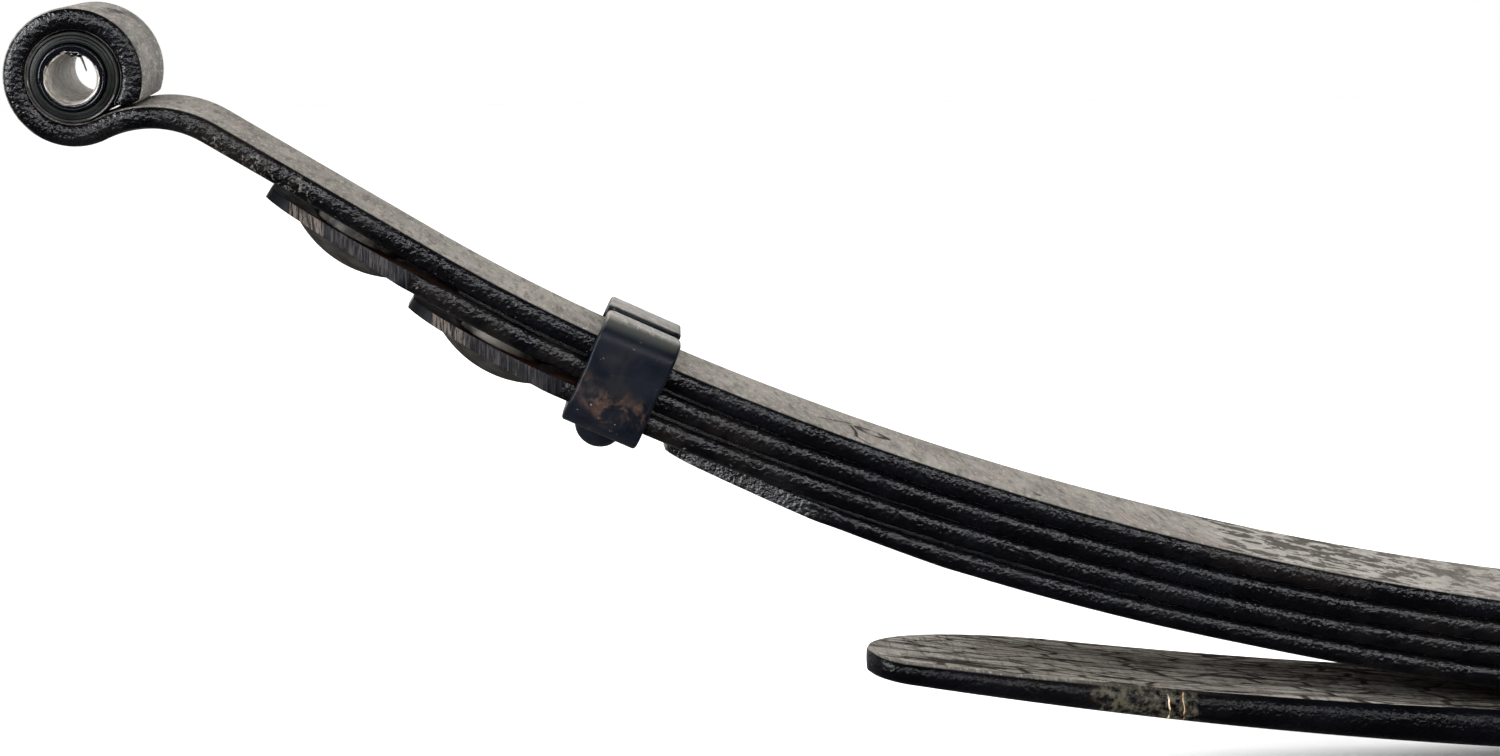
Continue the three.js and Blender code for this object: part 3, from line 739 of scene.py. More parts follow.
def centre_bolt(materials):
    low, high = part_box("centre_bolt")
    bottom, top = low.z / MM + SKIN, high.z / MM - SKIN
    head_top = bottom + BOLT_HEAD_HEIGHT
    profile = [(0, bottom), (BOLT_HEAD_RADIUS - 1, bottom), (BOLT_HEAD_RADIUS - 0.25, bottom + 0.35)]
    profile += [(BOLT_HEAD_RADIUS, bottom + 1.1), (BOLT_HEAD_RADIUS, head_top - 0.4)]
    profile += [(BOLT_HEAD_RADIUS - 0.4, head_top), (BOLT_RADIUS, head_top)]
    thread_from = top - THREAD_LENGTH
    steps = round(THREAD_LENGTH / THREAD_PITCH * 6)
    thread = [(BOLT_RADIUS, thread_from + THREAD_LENGTH * i / steps) for i in range(steps + 1)]
    profile += thread + [(0, top)]

    def groove(angle, radius, height):
        if height < thread_from - 1e-6:
            return 0
        phase = (height / THREAD_PITCH - angle / (2 * math.pi)) % 1
        cut = THREAD_DEPTH * (1 - abs(2 * phase - 1))
        lead = smooth_step(height, thread_from, thread_from + 1)
        point = 1.1 * smooth_step(height, top - 1.4, top)
        return -cut * lead * 0.85 - point

    bm = bmesh.new()
    turned(bm, profile, Matrix.Identity(4), 48, groove)
    finish_piece(bm, "centre_bolt_fine", "spring", ["centre_bolt"], materials, sharp=50)


def centre_nut(materials):
    """A hexagon nut with its corners turned off at both faces."""
    low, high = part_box("centre_nut")
    bottom, top = low.z / MM + SKIN, high.z / MM - SKIN
    flat = NUT_ACROSS_FLATS / 2 - SKIN
    corner = flat / math.cos(math.pi / 6)
    bore = BOLT_RADIUS + 0.3
    chamfer = 1.0
    profile = [(bore + 0.8, bottom), (corner - chamfer, bottom), (corner, bottom + chamfer * 0.6)]
    profile += [(corner, top - chamfer * 0.6), (corner - chamfer, top), (bore + 0.8, top), (bore, top - 0.8)]
    profile += [(bore, bottom + 0.8), (bore + 0.8, bottom)]

    def hexagon(angle, radius, height):
        if radius < flat:
            return 0
        around = (angle + math.pi / 6) % (math.pi / 3) - math.pi / 6
        return min(radius, flat / math.cos(around)) - radius

    bm = bmesh.new()
    turned(bm, profile, Matrix.Rotation(math.pi / 6, 4, "Z"), 96, hexagon)
    finish_piece(bm, "centre_nut_fine", "spring", ["centre_nut"], materials, sharp=24)


# ---- Materials -----------------------------------------------------------------------------------


class Nodes:
    """A node tree, with short ways to add the usual maths to it."""

    def __init__(self, tree):
        self.nodes, self.links = tree.nodes, tree.links
        self.nodes.clear()

    def give(self, socket, value):
        """Sets a socket, or links to it."""
        if isinstance(value, bpy.types.NodeSocket):
            self.links.new(value, socket)
        elif isinstance(value, tuple) and len(value) == 3 and len(socket.default_value) == 4:
            socket.default_value = (*value, 1)
        else:
            socket.default_value = value

    def between(self, value, low, high, to_low=0.0, to_high=1.0):
        """Maps low..high smoothly to to_low..to_high."""
        node = self.nodes.new("ShaderNodeMapRange")
        node.interpolation_type = "SMOOTHSTEP"
        self.give(node.inputs["Value"], value)
        limits = {"From Min": low, "From Max": high, "To Min": to_low, "To Max": to_high}
        for name, number in limits.items():
            node.inputs[name].default_value = number
        return node.outputs["Result"]

    def maths(self, operation, first, second=0.5):
        node = self.nodes.new("ShaderNodeMath")
        node.operation = operation
        self.give(node.inputs[0], first)
        self.give(node.inputs[1], second)
        return node.outputs[0]

    def both(self, first, second):
        return self.maths("MULTIPLY", first, second)

    def most(self, first, second):
        return self.maths("MAXIMUM", first, second)

    def axis(self, source, index):
        node = self.nodes.new("ShaderNodeSeparateXYZ")
        self.links.new(source, node.inputs[0])
        return node.outputs[index]


class Graph(Nodes):
    """One material's nodes: a principled shader, and textures placed in the spring's frame."""

    def __init__(self, name, roughness=0.5, metallic=0.0, specular=0.5):
        self.material = bpy.data.materials.new(name)
        self.material.use_nodes = True
        super().__init__(self.material.node_tree)
        output = self.nodes.new("ShaderNodeOutputMaterial")
        self.shader = self.nodes.new("ShaderNodeBsdfPrincipled")
        self.shader.inputs["Roughness"].default_value = roughness
        self.shader.inputs["Metallic"].default_value = metallic
        self.shader.inputs["Specular IOR Level"].default_value = specular
        self.links.new(self.shader.outputs["BSDF"], output.inputs["Surface"])
        self.place = self.nodes.new("ShaderNodeTexCoord").outputs["Object"]

    def coat(self, colour, roughness=None, normal=None, metallic=None):
        """Sets the surface from what is given, and returns the finished material."""
        sockets = {"Base Color": colour, "Roughness": roughness, "Normal": normal, "Metallic": metallic}
        for name, value in sockets.items():
            if value is not None:
                self.give(self.shader.inputs[name], value)
        return self.material

    def stretched(self, x, y, z):
        mapping = self.nodes.new("ShaderNodeMapping")
        mapping.inputs["Scale"].default_value = (x, y, z)
        self.links.new(self.place, mapping.inputs["Vector"])
        return mapping.outputs["Vector"]

    def noise(self, scale, detail=4, roughness=0.55, distortion=0.0):
        """Noise with one scale, or with a scale for each axis."""
        even = not isinstance(scale, tuple)
        node = self.nodes.new("ShaderNodeTexNoise")
        node.inputs["Scale"].default_value = scale if even else 1
        node.inputs["Detail"].default_value = detail
        node.inputs["Roughness"].default_value = roughness
        node.inputs["Distortion"].default_value = distortion
        self.links.new(self.place if even else self.stretched(*scale), node.inputs["Vector"])
        return node.outputs["Fac"]

    def cracks(self, x, y, z):
        """Distance to the nearest edge of a network of cells, with a scale for each axis."""
        node = self.nodes.new("ShaderNodeTexVoronoi")
        node.feature = "DISTANCE_TO_EDGE"
        node.inputs["Scale"].default_value = 1
        self.links.new(self.stretched(x, y, z), node.inputs["Vector"])
        return node.outputs["Distance"]

    def varied(self, noise, low, high):
        """A value that wanders from low to high with a noise."""
        return self.between(noise, 0.3, 0.7, low, high)

    def ragged(self, value, noise, amount):
        """A distance shifted to and fro by a noise, so that an edge drawn at it is ragged."""
        return self.maths("ADD", value, self.both(self.maths("SUBTRACT", noise, 0.5), amount))

    def mix(self, share, first, second):
        node = self.nodes.new("ShaderNodeMix")
        node.data_type = "RGBA"
        self.give(node.inputs["Factor"], share)
        self.give(node.inputs[6], first)
        self.give(node.inputs[7], second)
        return node.outputs[2]

    def blend(self, share, first, second):
        node = self.nodes.new("ShaderNodeMix")
        self.give(node.inputs["Factor"], share)
        self.give(node.inputs[2], first)
        self.give(node.inputs[3], second)
        return node.outputs[0]

    def bump(self, height, strength, distance, under=None):
        node = self.nodes.new("ShaderNodeBump")
        node.inputs["Strength"].default_value = strength
        node.inputs["Distance"].default_value = distance
        self.give(node.inputs["Height"], height)
        if under:
            self.links.new(under, node.inputs["Normal"])
        return node.outputs["Normal"]

    def facing(self, index):
        """One component of the surface's normal."""
        return self.axis(self.nodes.new("ShaderNodeNewGeometry").outputs["Normal"], index)

    def facing_up(self, low=0.62, high=0.8):
        """1 on faces that look upwards, 0 on walls and undersides."""
        return self.between(self.facing(2), low, high)

    def outwards(self):
        """Distance from the spring's middle along its length."""
        return self.maths("ABSOLUTE", self.axis(self.place, 0))

    def band(self, value, low, high, soft):
        """1 between two values, fading to 0 just outside them."""
        above = self.between(value, low - soft, low)
        return self.both(above, self.between(value, high, high + soft, 1.0, 0.0))

    def from_eye(self):
        """Distance from the nearer eye's axis."""
        x = self.maths("SUBTRACT", self.outwards(), EYE["rear"].x)
        z = self.maths("SUBTRACT", self.axis(self.place, 2), EYE["rear"].z)
        return self.maths("SQRT", self.maths("ADD", self.both(x, x), self.both(z, z)))

    def dusty(self, dark, light, shade=1.0):
        """Dust on weathered paint: grain drawn out across the leaf, with olive and pinkish mottles."""
        broad = self.noise((60, 30, 60), 5, 0.62, 0.4)
        grain = self.noise((420, 80, 420), 4, 0.66)
        fine = self.noise((1000, 210, 1000), 3, 0.6)
        tint = self.noise((150, 60, 150), 4, 0.62, 0.3)
        olive, pink, pit, pale = [tuple(c * shade for c in colour) for colour in DUST_MOTTLES]
        tone = self.mix(self.between(broad, 0.32, 0.68), dark, light)
        tone = self.mix(self.both(self.between(tint, 0.52, 0.68), 0.5), tone, olive)
        tone = self.mix(self.both(self.between(tint, 0.48, 0.32), 0.5), tone, pink)
        tone = self.mix(self.both(self.between(grain, 0.50, 0.64), 0.7), tone, pit)
        return self.mix(self.both(self.between(fine, 0.52, 0.66), 0.55), tone, pale)

    def vectors(self, operation, first, second):
        """Vector maths. A distance or a dot product gives a number, anything else a vector."""
        node = self.nodes.new("ShaderNodeVectorMath")
        node.operation = operation
        self.give(node.inputs[0], first)
        self.give(node.inputs["Scale" if operation == "SCALE" else 1], second)
        return node.outputs["Value" if operation in ("DISTANCE", "DOT_PRODUCT") else "Vector"]

    def reach_from(self, centre_mm):
        """Distance in metres from a point in the frame."""
        return self.vectors("DISTANCE", self.place, Vector(centre_mm) * MM)

    def inside(self, reach, radius_mm, soft_mm):
        """1 where a distance is less than a radius, fading to 0 over a soft edge."""
        return self.between(reach, radius_mm * MM, (radius_mm + soft_mm) * MM, 1.0, 0.0)

    def near(self, centre_mm, radius_mm, soft_mm):
        """1 inside a ball about a point in the frame, fading to 0 over its soft edge."""
        return self.inside(self.reach_from(centre_mm), radius_mm, soft_mm)

    def stroke(self, start_mm, end_mm, radius_mm, soft_mm):
        """1 along a straight line between two points in the frame, fading to 0 over its soft edge."""
        start, run = Vector(start_mm) * MM, (Vector(end_mm) - Vector(start_mm)) * MM
        offset = self.vectors("SUBTRACT", self.place, start)
        along = self.vectors("DOT_PRODUCT", offset, run / run.length_squared)
        share = self.maths("MINIMUM", self.maths("MAXIMUM", along, 0.0), 1.0)
        gap = self.vectors("DISTANCE", offset, self.vectors("SCALE", run, share))
        return self.inside(gap, radius_mm, soft_mm)


BLACK = (0.0010, 0.0011, 0.0018)
SOOT = (0.0005, 0.0005, 0.0007)
BROWN_SMUDGE = (0.0040, 0.0028, 0.0021)
DUST_MOTTLES = (
    (0.150, 0.150, 0.112),
    (0.170, 0.132, 0.118),
    (0.050, 0.045, 0.039),
    (0.260, 0.240, 0.214),
)
DUST = (0.120, 0.110, 0.097)
DUST_DARK = (0.072, 0.065, 0.057)
RUST = (0.024, 0.0075, 0.005)
TOP_DUST = (0.155, 0.143, 0.127)
TOP_DUST_DARK = (0.094, 0.086, 0.076)
PAINT_SPECULAR = 0.2
DRY_SPECULAR = 0.02
PEEL_SCALE = 760
PEEL_DEPTH = 0.00050

# Limits of soft edges, in metres from the spring's middle or in the frame
EYE_ZONE_X = (0.636, 0.640)
EYE_ZONE_Z = (0.2070, 0.2100)
FLAKED_UNTIL = (0.318, 0.308)
FLAKES_FADED = (0.205, 0.260)
# The next three place a painted shadow of the leaf pack on the overload leaf's top, lifted by painted light
# along its near edge
PAINTED_PACK_SHADOW_UNTIL = (0.315, 0.185)
EDGE_LIT_FROM = (0.175, 0.225)
RIGHT_EDGE = (-0.012, -0.024)
RIM_DUST_FROM = (0.300, 0.395)
SCUFFED_PATCH = (-0.350, -0.318)

# The same, in metres behind a tip's nose
TORN_FROM = (0.0070, 0.0085)
BARE_UNTIL = (0.0165, 0.019)
GREY_UNTIL = (0.036, 0.050)

# The same, in metres from an eye's axis
BORE_EDGE = (0.00745, 0.00760)
SCRAPED_RIM = (0.00740, 0.00800)
PAINTED_FROM = (0.00805, 0.00825)
BRIGHT_LINE = (0.0130, 0.0132)

# Marks, as points in the frame in millimetres
SCUFF_LINE = ((-626, -30, 208), (-590, -30, 189))
NICK_LINE = ((-653.3, -6, 243.8), (-651.5, 9, 243.0))
NICK_MIDDLE = (-652.6, 2, 243.6)
RING_MARK = (-417.6, 1.5, 108.2)
DOT_MARK = (-367.5, -19, 91.2)
RED_STAIN = (-190, 5, 18)
CLIP_HAZE = (-502, -35, 130.8)
CLIP_SMUDGES = (((-503, -35, 124.4), 3.2), ((-510, -35, 129.5), 1.6), ((-495, -35, 121.2), 1.4))
HAIR_MARKS = (
    ((-435.5, -6.2, 115.0), (-428.5, 1.2, 112.3)),
    ((-428.5, 1.2, 112.3), (-424.3, 6.0, 110.7)),
    ((-424.8, 1.0, 110.8), (-424.3, -9.0, 110.7)),
    ((-424.3, -9.0, 110.7), (-425.6, -21.0, 111.2)),
    ((-425.6, -21.0, 111.2), (-421.5, -28.0, 109.7)),
)

# Pale drips on the overload leaf's edge: place along the spring and half width in metres, and colour
PALE_DRIPS = ((-0.3268, 0.00012, (0.36, 0.28, 0.19)), (-0.3213, 0.00010, (0.22, 0.14, 0.08)))


def black_wall(g, mottle, blotch):
    """Black paint on a leaf's sides: sooty, with brownish smudges and a few worn specks."""
    wall = g.mix(g.between(mottle, 0.35, 0.7), SOOT, BLACK)
    smudge = g.both(g.between(blotch, 0.50, 0.70), g.between(mottle, 0.42, 0.6))
    wall = g.mix(g.both(smudge, 0.6), wall, BROWN_SMUDGE)
    worn = g.between(g.noise(5, 3, 0.5), 0.50, 0.62)
    specks = g.both(g.between(g.noise((420, 700, 700), 3, 0.6), 0.68, 0.74), worn)
    return g.mix(g.both(specks, 0.7), wall, (0.060, 0.055, 0.050))


def peel(g, strength=1.0, under=None):
    """The stipple of thick sprayed paint."""
    broad = g.bump(g.noise(150, 3, 0.5), 0.15, 0.0004, under)
    return g.bump(g.noise(PEEL_SCALE, 2, 0.5), strength, PEEL_DEPTH, broad)


def leaf_paint(name):
    """Black paint on the main leaf's sides and underside, dusty on its rounded edges and round the eyes."""
    g = Graph(name, specular=PAINT_SPECULAR)
    mottle = g.noise(38, 5, 0.6, 0.4)
    blotch = g.noise(9, 3, 0.5)
    across = g.maths("ABSOLUTE", g.facing(1))
    eye = g.both(g.between(g.outwards(), *EYE_ZONE_X), g.between(g.axis(g.place, 2), *EYE_ZONE_Z))
    rolled = g.both(g.both(eye, g.between(across, 0.5, 0.7, 1, 0)), g.between(g.facing(2), -0.85, -0.7))
    up = g.most(g.facing_up(0.72, 0.92), rolled)
    top = g.dusty(DUST_DARK, DUST)
    stains = g.between(g.noise((120, 45, 160), 4, 0.6, 0.5), 0.53, 0.66)
    top = g.mix(g.both(g.both(stains, eye), 0.7), top, (0.040, 0.035, 0.030))
    wall = black_wall(g, mottle, blotch)
    scuffed = g.stroke(*SCUFF_LINE, 2.2, 1.5)
    streaks = g.between(g.noise(560, 5, 0.7, 0.8), 0.54, 0.62)
    wall = g.mix(g.both(g.both(scuffed, streaks), 0.7), wall, (0.056, 0.052, 0.044))
    colour = g.mix(up, wall, top)
    nick = g.most(g.stroke(*NICK_LINE, 1.2, 0.9), g.near(NICK_MIDDLE, 2.2, 0.6))
    nick = g.both(nick, g.between(g.noise(330, 3), 0.36, 0.48))
    colour = g.mix(nick, colour, (0.008, 0.007, 0.007))
    return g.coat(
        colour,
        roughness=g.blend(up, g.varied(mottle, 0.20, 0.30), 0.55),
        normal=peel(g),
    )


def leaf_top(name):
    """The main leaf's flat top: dusty dry paint, flaked in two tones towards the middle, with marks."""
    g = Graph(name, roughness=0.6, specular=DRY_SPECULAR)
    colour = g.dusty(TOP_DUST_DARK, TOP_DUST, 0.92)
    x = g.axis(g.place, 0)
    ragged = g.ragged(g.maths("ABSOLUTE", x), g.noise(28, 5, 0.7), 0.07)
    zone = g.between(ragged, *FLAKED_UNTIL)
    blocks = g.noise((105, 130, 105), 6, 0.68, 0.5)
    chips = g.noise((240, 230, 240), 5, 0.7, 0.3)
    shape = g.ragged(blocks, chips, 0.40)
    bare = g.mix(g.between(chips, 0.4, 0.6), (0.048, 0.043, 0.037), (0.032, 0.028, 0.024))
    flake = g.mix(g.between(chips, 0.35, 0.65), (0.225, 0.211, 0.189), (0.150, 0.140, 0.124))
    pale = g.between(shape, 0.487, 0.505)
    faded = g.between(g.maths("ABSOLUTE", x), *FLAKES_FADED, 0.55, 1.0)
    flaked = g.mix(pale, bare, flake)
    colour = g.mix(g.both(zone, faded), colour, flaked)
    ring = g.band(g.reach_from(RING_MARK), 0.0038, 0.0060, 0.0008)
    mark = g.both(ring, g.between(g.noise(260, 3), 0.36, 0.46))
    for start, end in HAIR_MARKS:
        mark = g.most(mark, g.stroke(start, end, 0.35, 0.5))
    mark = g.most(mark, g.near(DOT_MARK, 0.9, 0.6))
    colour = g.mix(g.both(mark, g.between(chips, 0.30, 0.44)), colour, (0.012, 0.010, 0.009))
    relief = g.maths("ADD", g.both(g.both(zone, pale), 1.0), g.both(mark, -1.0))
    return g.coat(colour, normal=g.bump(relief, 0.5, 0.0002, g.bump(chips, 0.35, 0.0004)))


def sheared_paint(name, nose):
    """A tip's sheared wall, its nose at nose metres: smooth black at first, then tear lines."""
    g = Graph(name, specular=0.05)
    behind = g.maths("SUBTRACT", nose, g.outwards())
    tears = g.noise((1500, 500, 90), 3, 0.6)
    patch = g.noise(90, 4, 0.6)
    torn = g.between(behind, *TORN_FROM)
    bare = g.both(g.both(torn, g.between(behind, *BARE_UNTIL, 1, 0)), g.between(patch, 0.36, 0.5))
    grey = g.both(torn, g.between(behind, *GREY_UNTIL, 1, 0.1))
    colour = g.mix(g.both(g.between(tears, 0.44, 0.62), grey), BLACK, (0.017, 0.015, 0.015))
    colour = g.mix(g.both(g.between(tears, 0.40, 0.58), bare), colour, (0.060, 0.049, 0.041))
    colour = g.mix(g.both(g.both(g.between(g.noise(160, 3), 0.56, 0.66), torn), 0.6), colour, BROWN_SMUDGE)
    return g.coat(
        colour,
        roughness=g.varied(patch, 0.32, 0.5),
        normal=g.bump(g.both(tears, torn), 0.9, 0.0006, g.bump(g.noise(PEEL_SCALE, 2, 0.5), 0.5, 0.0002)),
    )


def tip_paint(name):
    """Lower leaves' sides and undersides: the same black paint as the main leaf's."""
    g = Graph(name, specular=PAINT_SPECULAR)
    mottle = g.noise(45, 5, 0.6, 0.3)
    return g.coat(
        black_wall(g, mottle, g.noise(11, 3, 0.5)),
        roughness=g.varied(mottle, 0.20, 0.30),
        normal=peel(g),
    )


def tip_face(name):
    """The faces of the tips: dark red rust on the bare tops, and a painted grey-brown reflection of the
    floor on the black-painted domes under them.
    """
    g = Graph(name, roughness=0.5, specular=0.02)
    patch = g.noise(130, 4, 0.6)
    stain = g.noise(210, 4, 0.6)
    top = g.mix(g.between(patch, 0.36, 0.60), (0.0030, 0.0022, 0.0022), RUST)
    # Painted reflection: the black-painted domes face the floor and are coloured grey-brown for it
    dome = g.mix(g.between(stain, 0.35, 0.65), (0.0085, 0.0078, 0.0068), (0.018, 0.0165, 0.0145))
    return g.coat(
        g.mix(g.between(g.facing(2), -0.2, 0.2), dome, top),
        roughness=g.varied(stain, 0.42, 0.58),
        normal=g.bump(stain, 0.3, 0.0003),
    )


def overload_top(name):
    """The thick leaf's top: dusty at the tip and cracked, with a painted shadow where the leaves above shade
    it, lifted by painted light along its near edge.
    """
    g = Graph(name, specular=0.0)
    mottle = g.noise(30, 5, 0.6, 0.4)
    blotch = g.noise(8, 3, 0.5)
    grain = g.noise((16, 210, 120), 6, 0.66)
    fine = g.noise((130, 420, 130), 5, 0.7, 0.4)
    cracks = g.cracks(48, 210, 48)
    crack = g.both(g.between(cracks, 0.02, 0.09, 1, 0), g.between(mottle, 0.38, 0.52))
    splits = g.between(g.noise((22, 330, 120), 5, 0.7, 0.6), 0.55, 0.60)
    top = g.dusty((0.150, 0.136, 0.119), (0.290, 0.268, 0.240), 1.3)
    top = g.mix(g.both(g.between(blotch, 0.45, 0.62), 0.5), top, (0.120, 0.108, 0.090))
    top = g.mix(g.both(g.between(grain, 0.50, 0.60), 0.65), top, (0.056, 0.049, 0.040))
    # Painted shadow: the top darkens towards the middle, where the leaves above shade it, and painted light
    # along the near edge lifts it part way
    painted_pack_shadow = g.between(g.outwards(), *PAINTED_PACK_SHADOW_UNTIL)
    edge = g.between(g.outwards(), *EDGE_LIT_FROM, 0.0, 0.35)
    edge = g.both(g.between(g.axis(g.place, 1), *RIGHT_EDGE), edge)
    shade = g.maths("MAXIMUM", g.maths("SUBTRACT", painted_pack_shadow, edge), 0.0)
    top = g.mix(g.both(shade, 0.98), top, (0.0045, 0.0036, 0.0031))
    # Pale flecks of dust, left out under the painted shadow
    pale = g.both(g.between(fine, 0.54, 0.64), g.between(painted_pack_shadow, 1.0, 0.3))
    top = g.mix(g.both(pale, 0.6), top, (0.270, 0.240, 0.200))
    top = g.mix(g.both(g.most(crack, splits), 0.9), top, (0.010, 0.009, 0.008))
    red = g.both(g.near(RED_STAIN, 14, 14), g.between(mottle, 0.45, 0.6))
    top = g.mix(red, top, (0.040, 0.012, 0.008))
    height = g.maths("ADD", grain, g.both(g.most(crack, splits), -1.2))
    return g.coat(
        top,
        roughness=g.varied(grain, 0.5, 0.65),
        normal=g.bump(height, 0.7, 0.0007, g.bump(fine, 0.4, 0.0004)),
    )


def overload_paint(name):
    """Black paint on the thick leaf's sides, with a scuffed patch and two pale drips on its right edge."""
    g = Graph(name, specular=0.09)
    mottle = g.noise(30, 5, 0.6, 0.4)
    blotch = g.noise(8, 3, 0.5)
    wall = black_wall(g, mottle, blotch)
    side = g.between(g.facing(1), -0.3, -0.6)
    x = g.axis(g.place, 0)
    ragged = g.ragged(x, g.noise(70, 5, 0.65), 0.016)
    scuff = g.both(g.band(ragged, *SCUFFED_PATCH, 0.002), side)
    scuff = g.both(scuff, g.between(g.noise(380, 5, 0.65), 0.40, 0.62))
    wall = g.mix(g.both(scuff, 0.85), wall, (0.034, 0.031, 0.021))
    for place, width, colour in PALE_DRIPS:
        wavy = g.ragged(x, g.noise(90, 3), 0.006)
        drip = g.both(g.band(wavy, place - width, place + width, 0.0002), side)
        wall = g.mix(g.both(drip, g.between(g.noise(190, 3), 0.46, 0.56)), wall, colour)
    rim = g.facing_up(0.72, 0.95)
    dust = g.dusty((0.050, 0.045, 0.038), (0.090, 0.083, 0.073))
    wall = g.mix(g.both(rim, g.between(g.outwards(), *RIM_DUST_FROM)), wall, dust)
    return g.coat(
        wall,
        roughness=g.blend(rim, g.varied(mottle, 0.20, 0.32), 0.5),
        normal=peel(g, 0.9),
    )


def clip_paint(name):
    """Semi-gloss blue-black paint with a painted grey sheen on its upward-facing bends, and a brown rust
    smudge across the right plate.
    """
    g = Graph(name, specular=0.06)
    mottle = g.noise(60, 5, 0.62, 0.3)
    fine_noise = g.noise(420, 4, 0.65)
    colour = g.mix(g.between(mottle, 0.35, 0.7), (0.0014, 0.0020, 0.0034), (0.0030, 0.0038, 0.0058))
    smudge = g.noise(190, 6, 0.70, 0.6)
    for centre, size in CLIP_SMUDGES:
        patch = g.both(g.near(centre, size, 5.5), g.between(smudge, 0.46, 0.66))
        colour = g.mix(g.both(patch, 0.6), colour, (0.042, 0.024, 0.016))
    haze = g.both(g.near(CLIP_HAZE, 8, 7), g.between(g.noise(90, 5, 0.6), 0.42, 0.62))
    colour = g.mix(g.both(haze, 0.35), colour, (0.011, 0.010, 0.009))
    specks = g.both(g.between(g.noise(700, 2), 0.70, 0.75), g.between(mottle, 0.48, 0.60))
    colour = g.mix(specks, colour, (0.09, 0.058, 0.036))
    # Painted sheen: the upward-facing bends are painted grey where the bright surroundings would reflect in
    # the black paint
    painted_bend_sheen = g.between(g.facing(2), 0.45, 0.92)
    colour = g.mix(g.both(painted_bend_sheen, 0.85), colour, (0.034, 0.035, 0.031))
    colour = g.mix(g.facing_up(0.78, 0.95), colour, g.dusty(DUST_DARK, DUST))
    fine = g.bump(fine_noise, 0.4, 0.0002)
    return g.coat(
        colour,
        roughness=g.varied(mottle, 0.24, 0.40),
        normal=g.bump(g.noise(90, 3, 0.5), 0.35, 0.0006, fine),
    )


def sleeve_steel(name):
    """A sleeve with a bare, tarnished bore and glossy black end faces, scraped at the bore's rim."""
    g = Graph(name, roughness=0.4, specular=0.25)
    radius = g.from_eye()
    stain = g.noise(190, 5, 0.62, 0.3)
    grain = g.noise(800, 4, 0.6)
    rust = g.between(g.noise(75, 4, 0.6), 0.50, 0.66)
    bore = g.mix(g.between(stain, 0.32, 0.66), (0.085, 0.075, 0.062), (0.900, 0.840, 0.745))
    bore = g.mix(g.both(g.between(grain, 0.50, 0.62), 0.55), bore, (0.070, 0.057, 0.046))
    bore = g.mix(g.both(rust, 0.4), bore, (0.105, 0.067, 0.043))
    ragged = g.ragged(radius, stain, 0.0012)
    rim = g.band(ragged, *SCRAPED_RIM, 0.00012)
    low_side = g.between(g.maths("SUBTRACT", g.axis(g.place, 2), EYE["rear"].z), 0.0035, -0.0015)
    rim = g.both(rim, g.most(low_side, g.between(g.noise(120, 4), 0.52, 0.6)))
    colour = g.mix(g.both(rim, 0.85), bore, (0.34, 0.32, 0.285))
    painted = g.most(g.between(ragged, *PAINTED_FROM), g.between(radius, *BORE_EDGE))
    painted = g.both(painted, g.maths("SUBTRACT", 1.0, rim))
    colour = g.mix(painted, colour, BLACK)
    ripples = g.bump(g.noise(260, 3, 0.5), 0.6, 0.0004)
    return g.coat(
        colour,
        roughness=g.blend(painted, g.varied(stain, 0.38, 0.6), 0.16),
        normal=g.bump(grain, 0.35, 0.00015, ripples),
        metallic=g.blend(painted, g.blend(rim, 0.45, 0.9), 0.0),
    )


def shell_steel(name):
    """The bush's outer shell: black paint over its end, worn to a thin bright line at the rim."""
    g = Graph(name, specular=0.3)
    stain = g.noise(150, 5, 0.62, 0.3)
    line = g.both(g.band(g.from_eye(), *BRIGHT_LINE, 0.0001), g.between(g.noise(45, 3), 0.50, 0.60))
    return g.coat(
        g.mix(line, g.mix(stain, SOOT, (0.014, 0.015, 0.013)), (0.22, 0.205, 0.185)),
        roughness=g.varied(stain, 0.26, 0.45),
        normal=g.bump(stain, 0.3, 0.0002),
        metallic=g.both(line, 0.9),
    )


def fastener_steel(name):
    """Dull phosphated steel, mottled, with patches of rust."""
    g = Graph(name, metallic=0.85)
    stain = g.noise(240, 5, 0.6)
    patch = g.noise(55, 4, 0.6, 0.3)
    colour = g.mix(g.between(stain, 0.35, 0.65), (0.13, 0.125, 0.115), (0.26, 0.25, 0.235))
    colour = g.mix(g.both(g.between(patch, 0.55, 0.68), 0.6), colour, (0.085, 0.040, 0.022))
    return g.coat(
        colour,
        roughness=g.varied(stain, 0.36, 0.56),
        normal=g.bump(stain, 0.35, 0.0002),
    )


def moulded_rubber(name):
    """Black rubber, slightly shiny, with a greenish-grey bloom and mould grain."""
    g = Graph(name, specular=0.10)
    bloom = g.noise(75, 4, 0.6)
    grain = g.noise(900, 3, 0.5)
    return g.coat(
        g.mix(g.between(bloom, 0.35, 0.65), (0.0030, 0.0034, 0.0032), (0.0065, 0.0072, 0.0066)),
        roughness=g.varied(bloom, 0.30, 0.46),
        normal=g.bump(grain, 0.3, 0.00015),
    )


def pad_plastic(name):
    """Beige moulded plastic, greyed with dirt."""
    g = Graph(name, specular=0.4)
    dirt = g.noise(120, 5, 0.6, 0.2)
    grain = g.noise(700, 3, 0.5)
    return g.coat(
        g.mix(g.between(dirt, 0.42, 0.62), (0.130, 0.116, 0.094), (0.022, 0.018, 0.014)),
        roughness=g.varied(dirt, 0.42, 0.62),
        normal=g.bump(grain, 0.25, 0.0002),
    )


def wet_paint(name):
    """Glossy black paint that ran and dried."""
    g = Graph(name, specular=0.5)
    film = g.noise(500, 3, 0.5)
    return g.coat(
        g.mix(g.between(film, 0.35, 0.65), SOOT, BLACK),
        roughness=g.varied(film, 0.12, 0.26),
        normal=g.bump(film, 0.3, 0.0002),
    )


# ---- Studio --------------------------------------------------------------------------------------

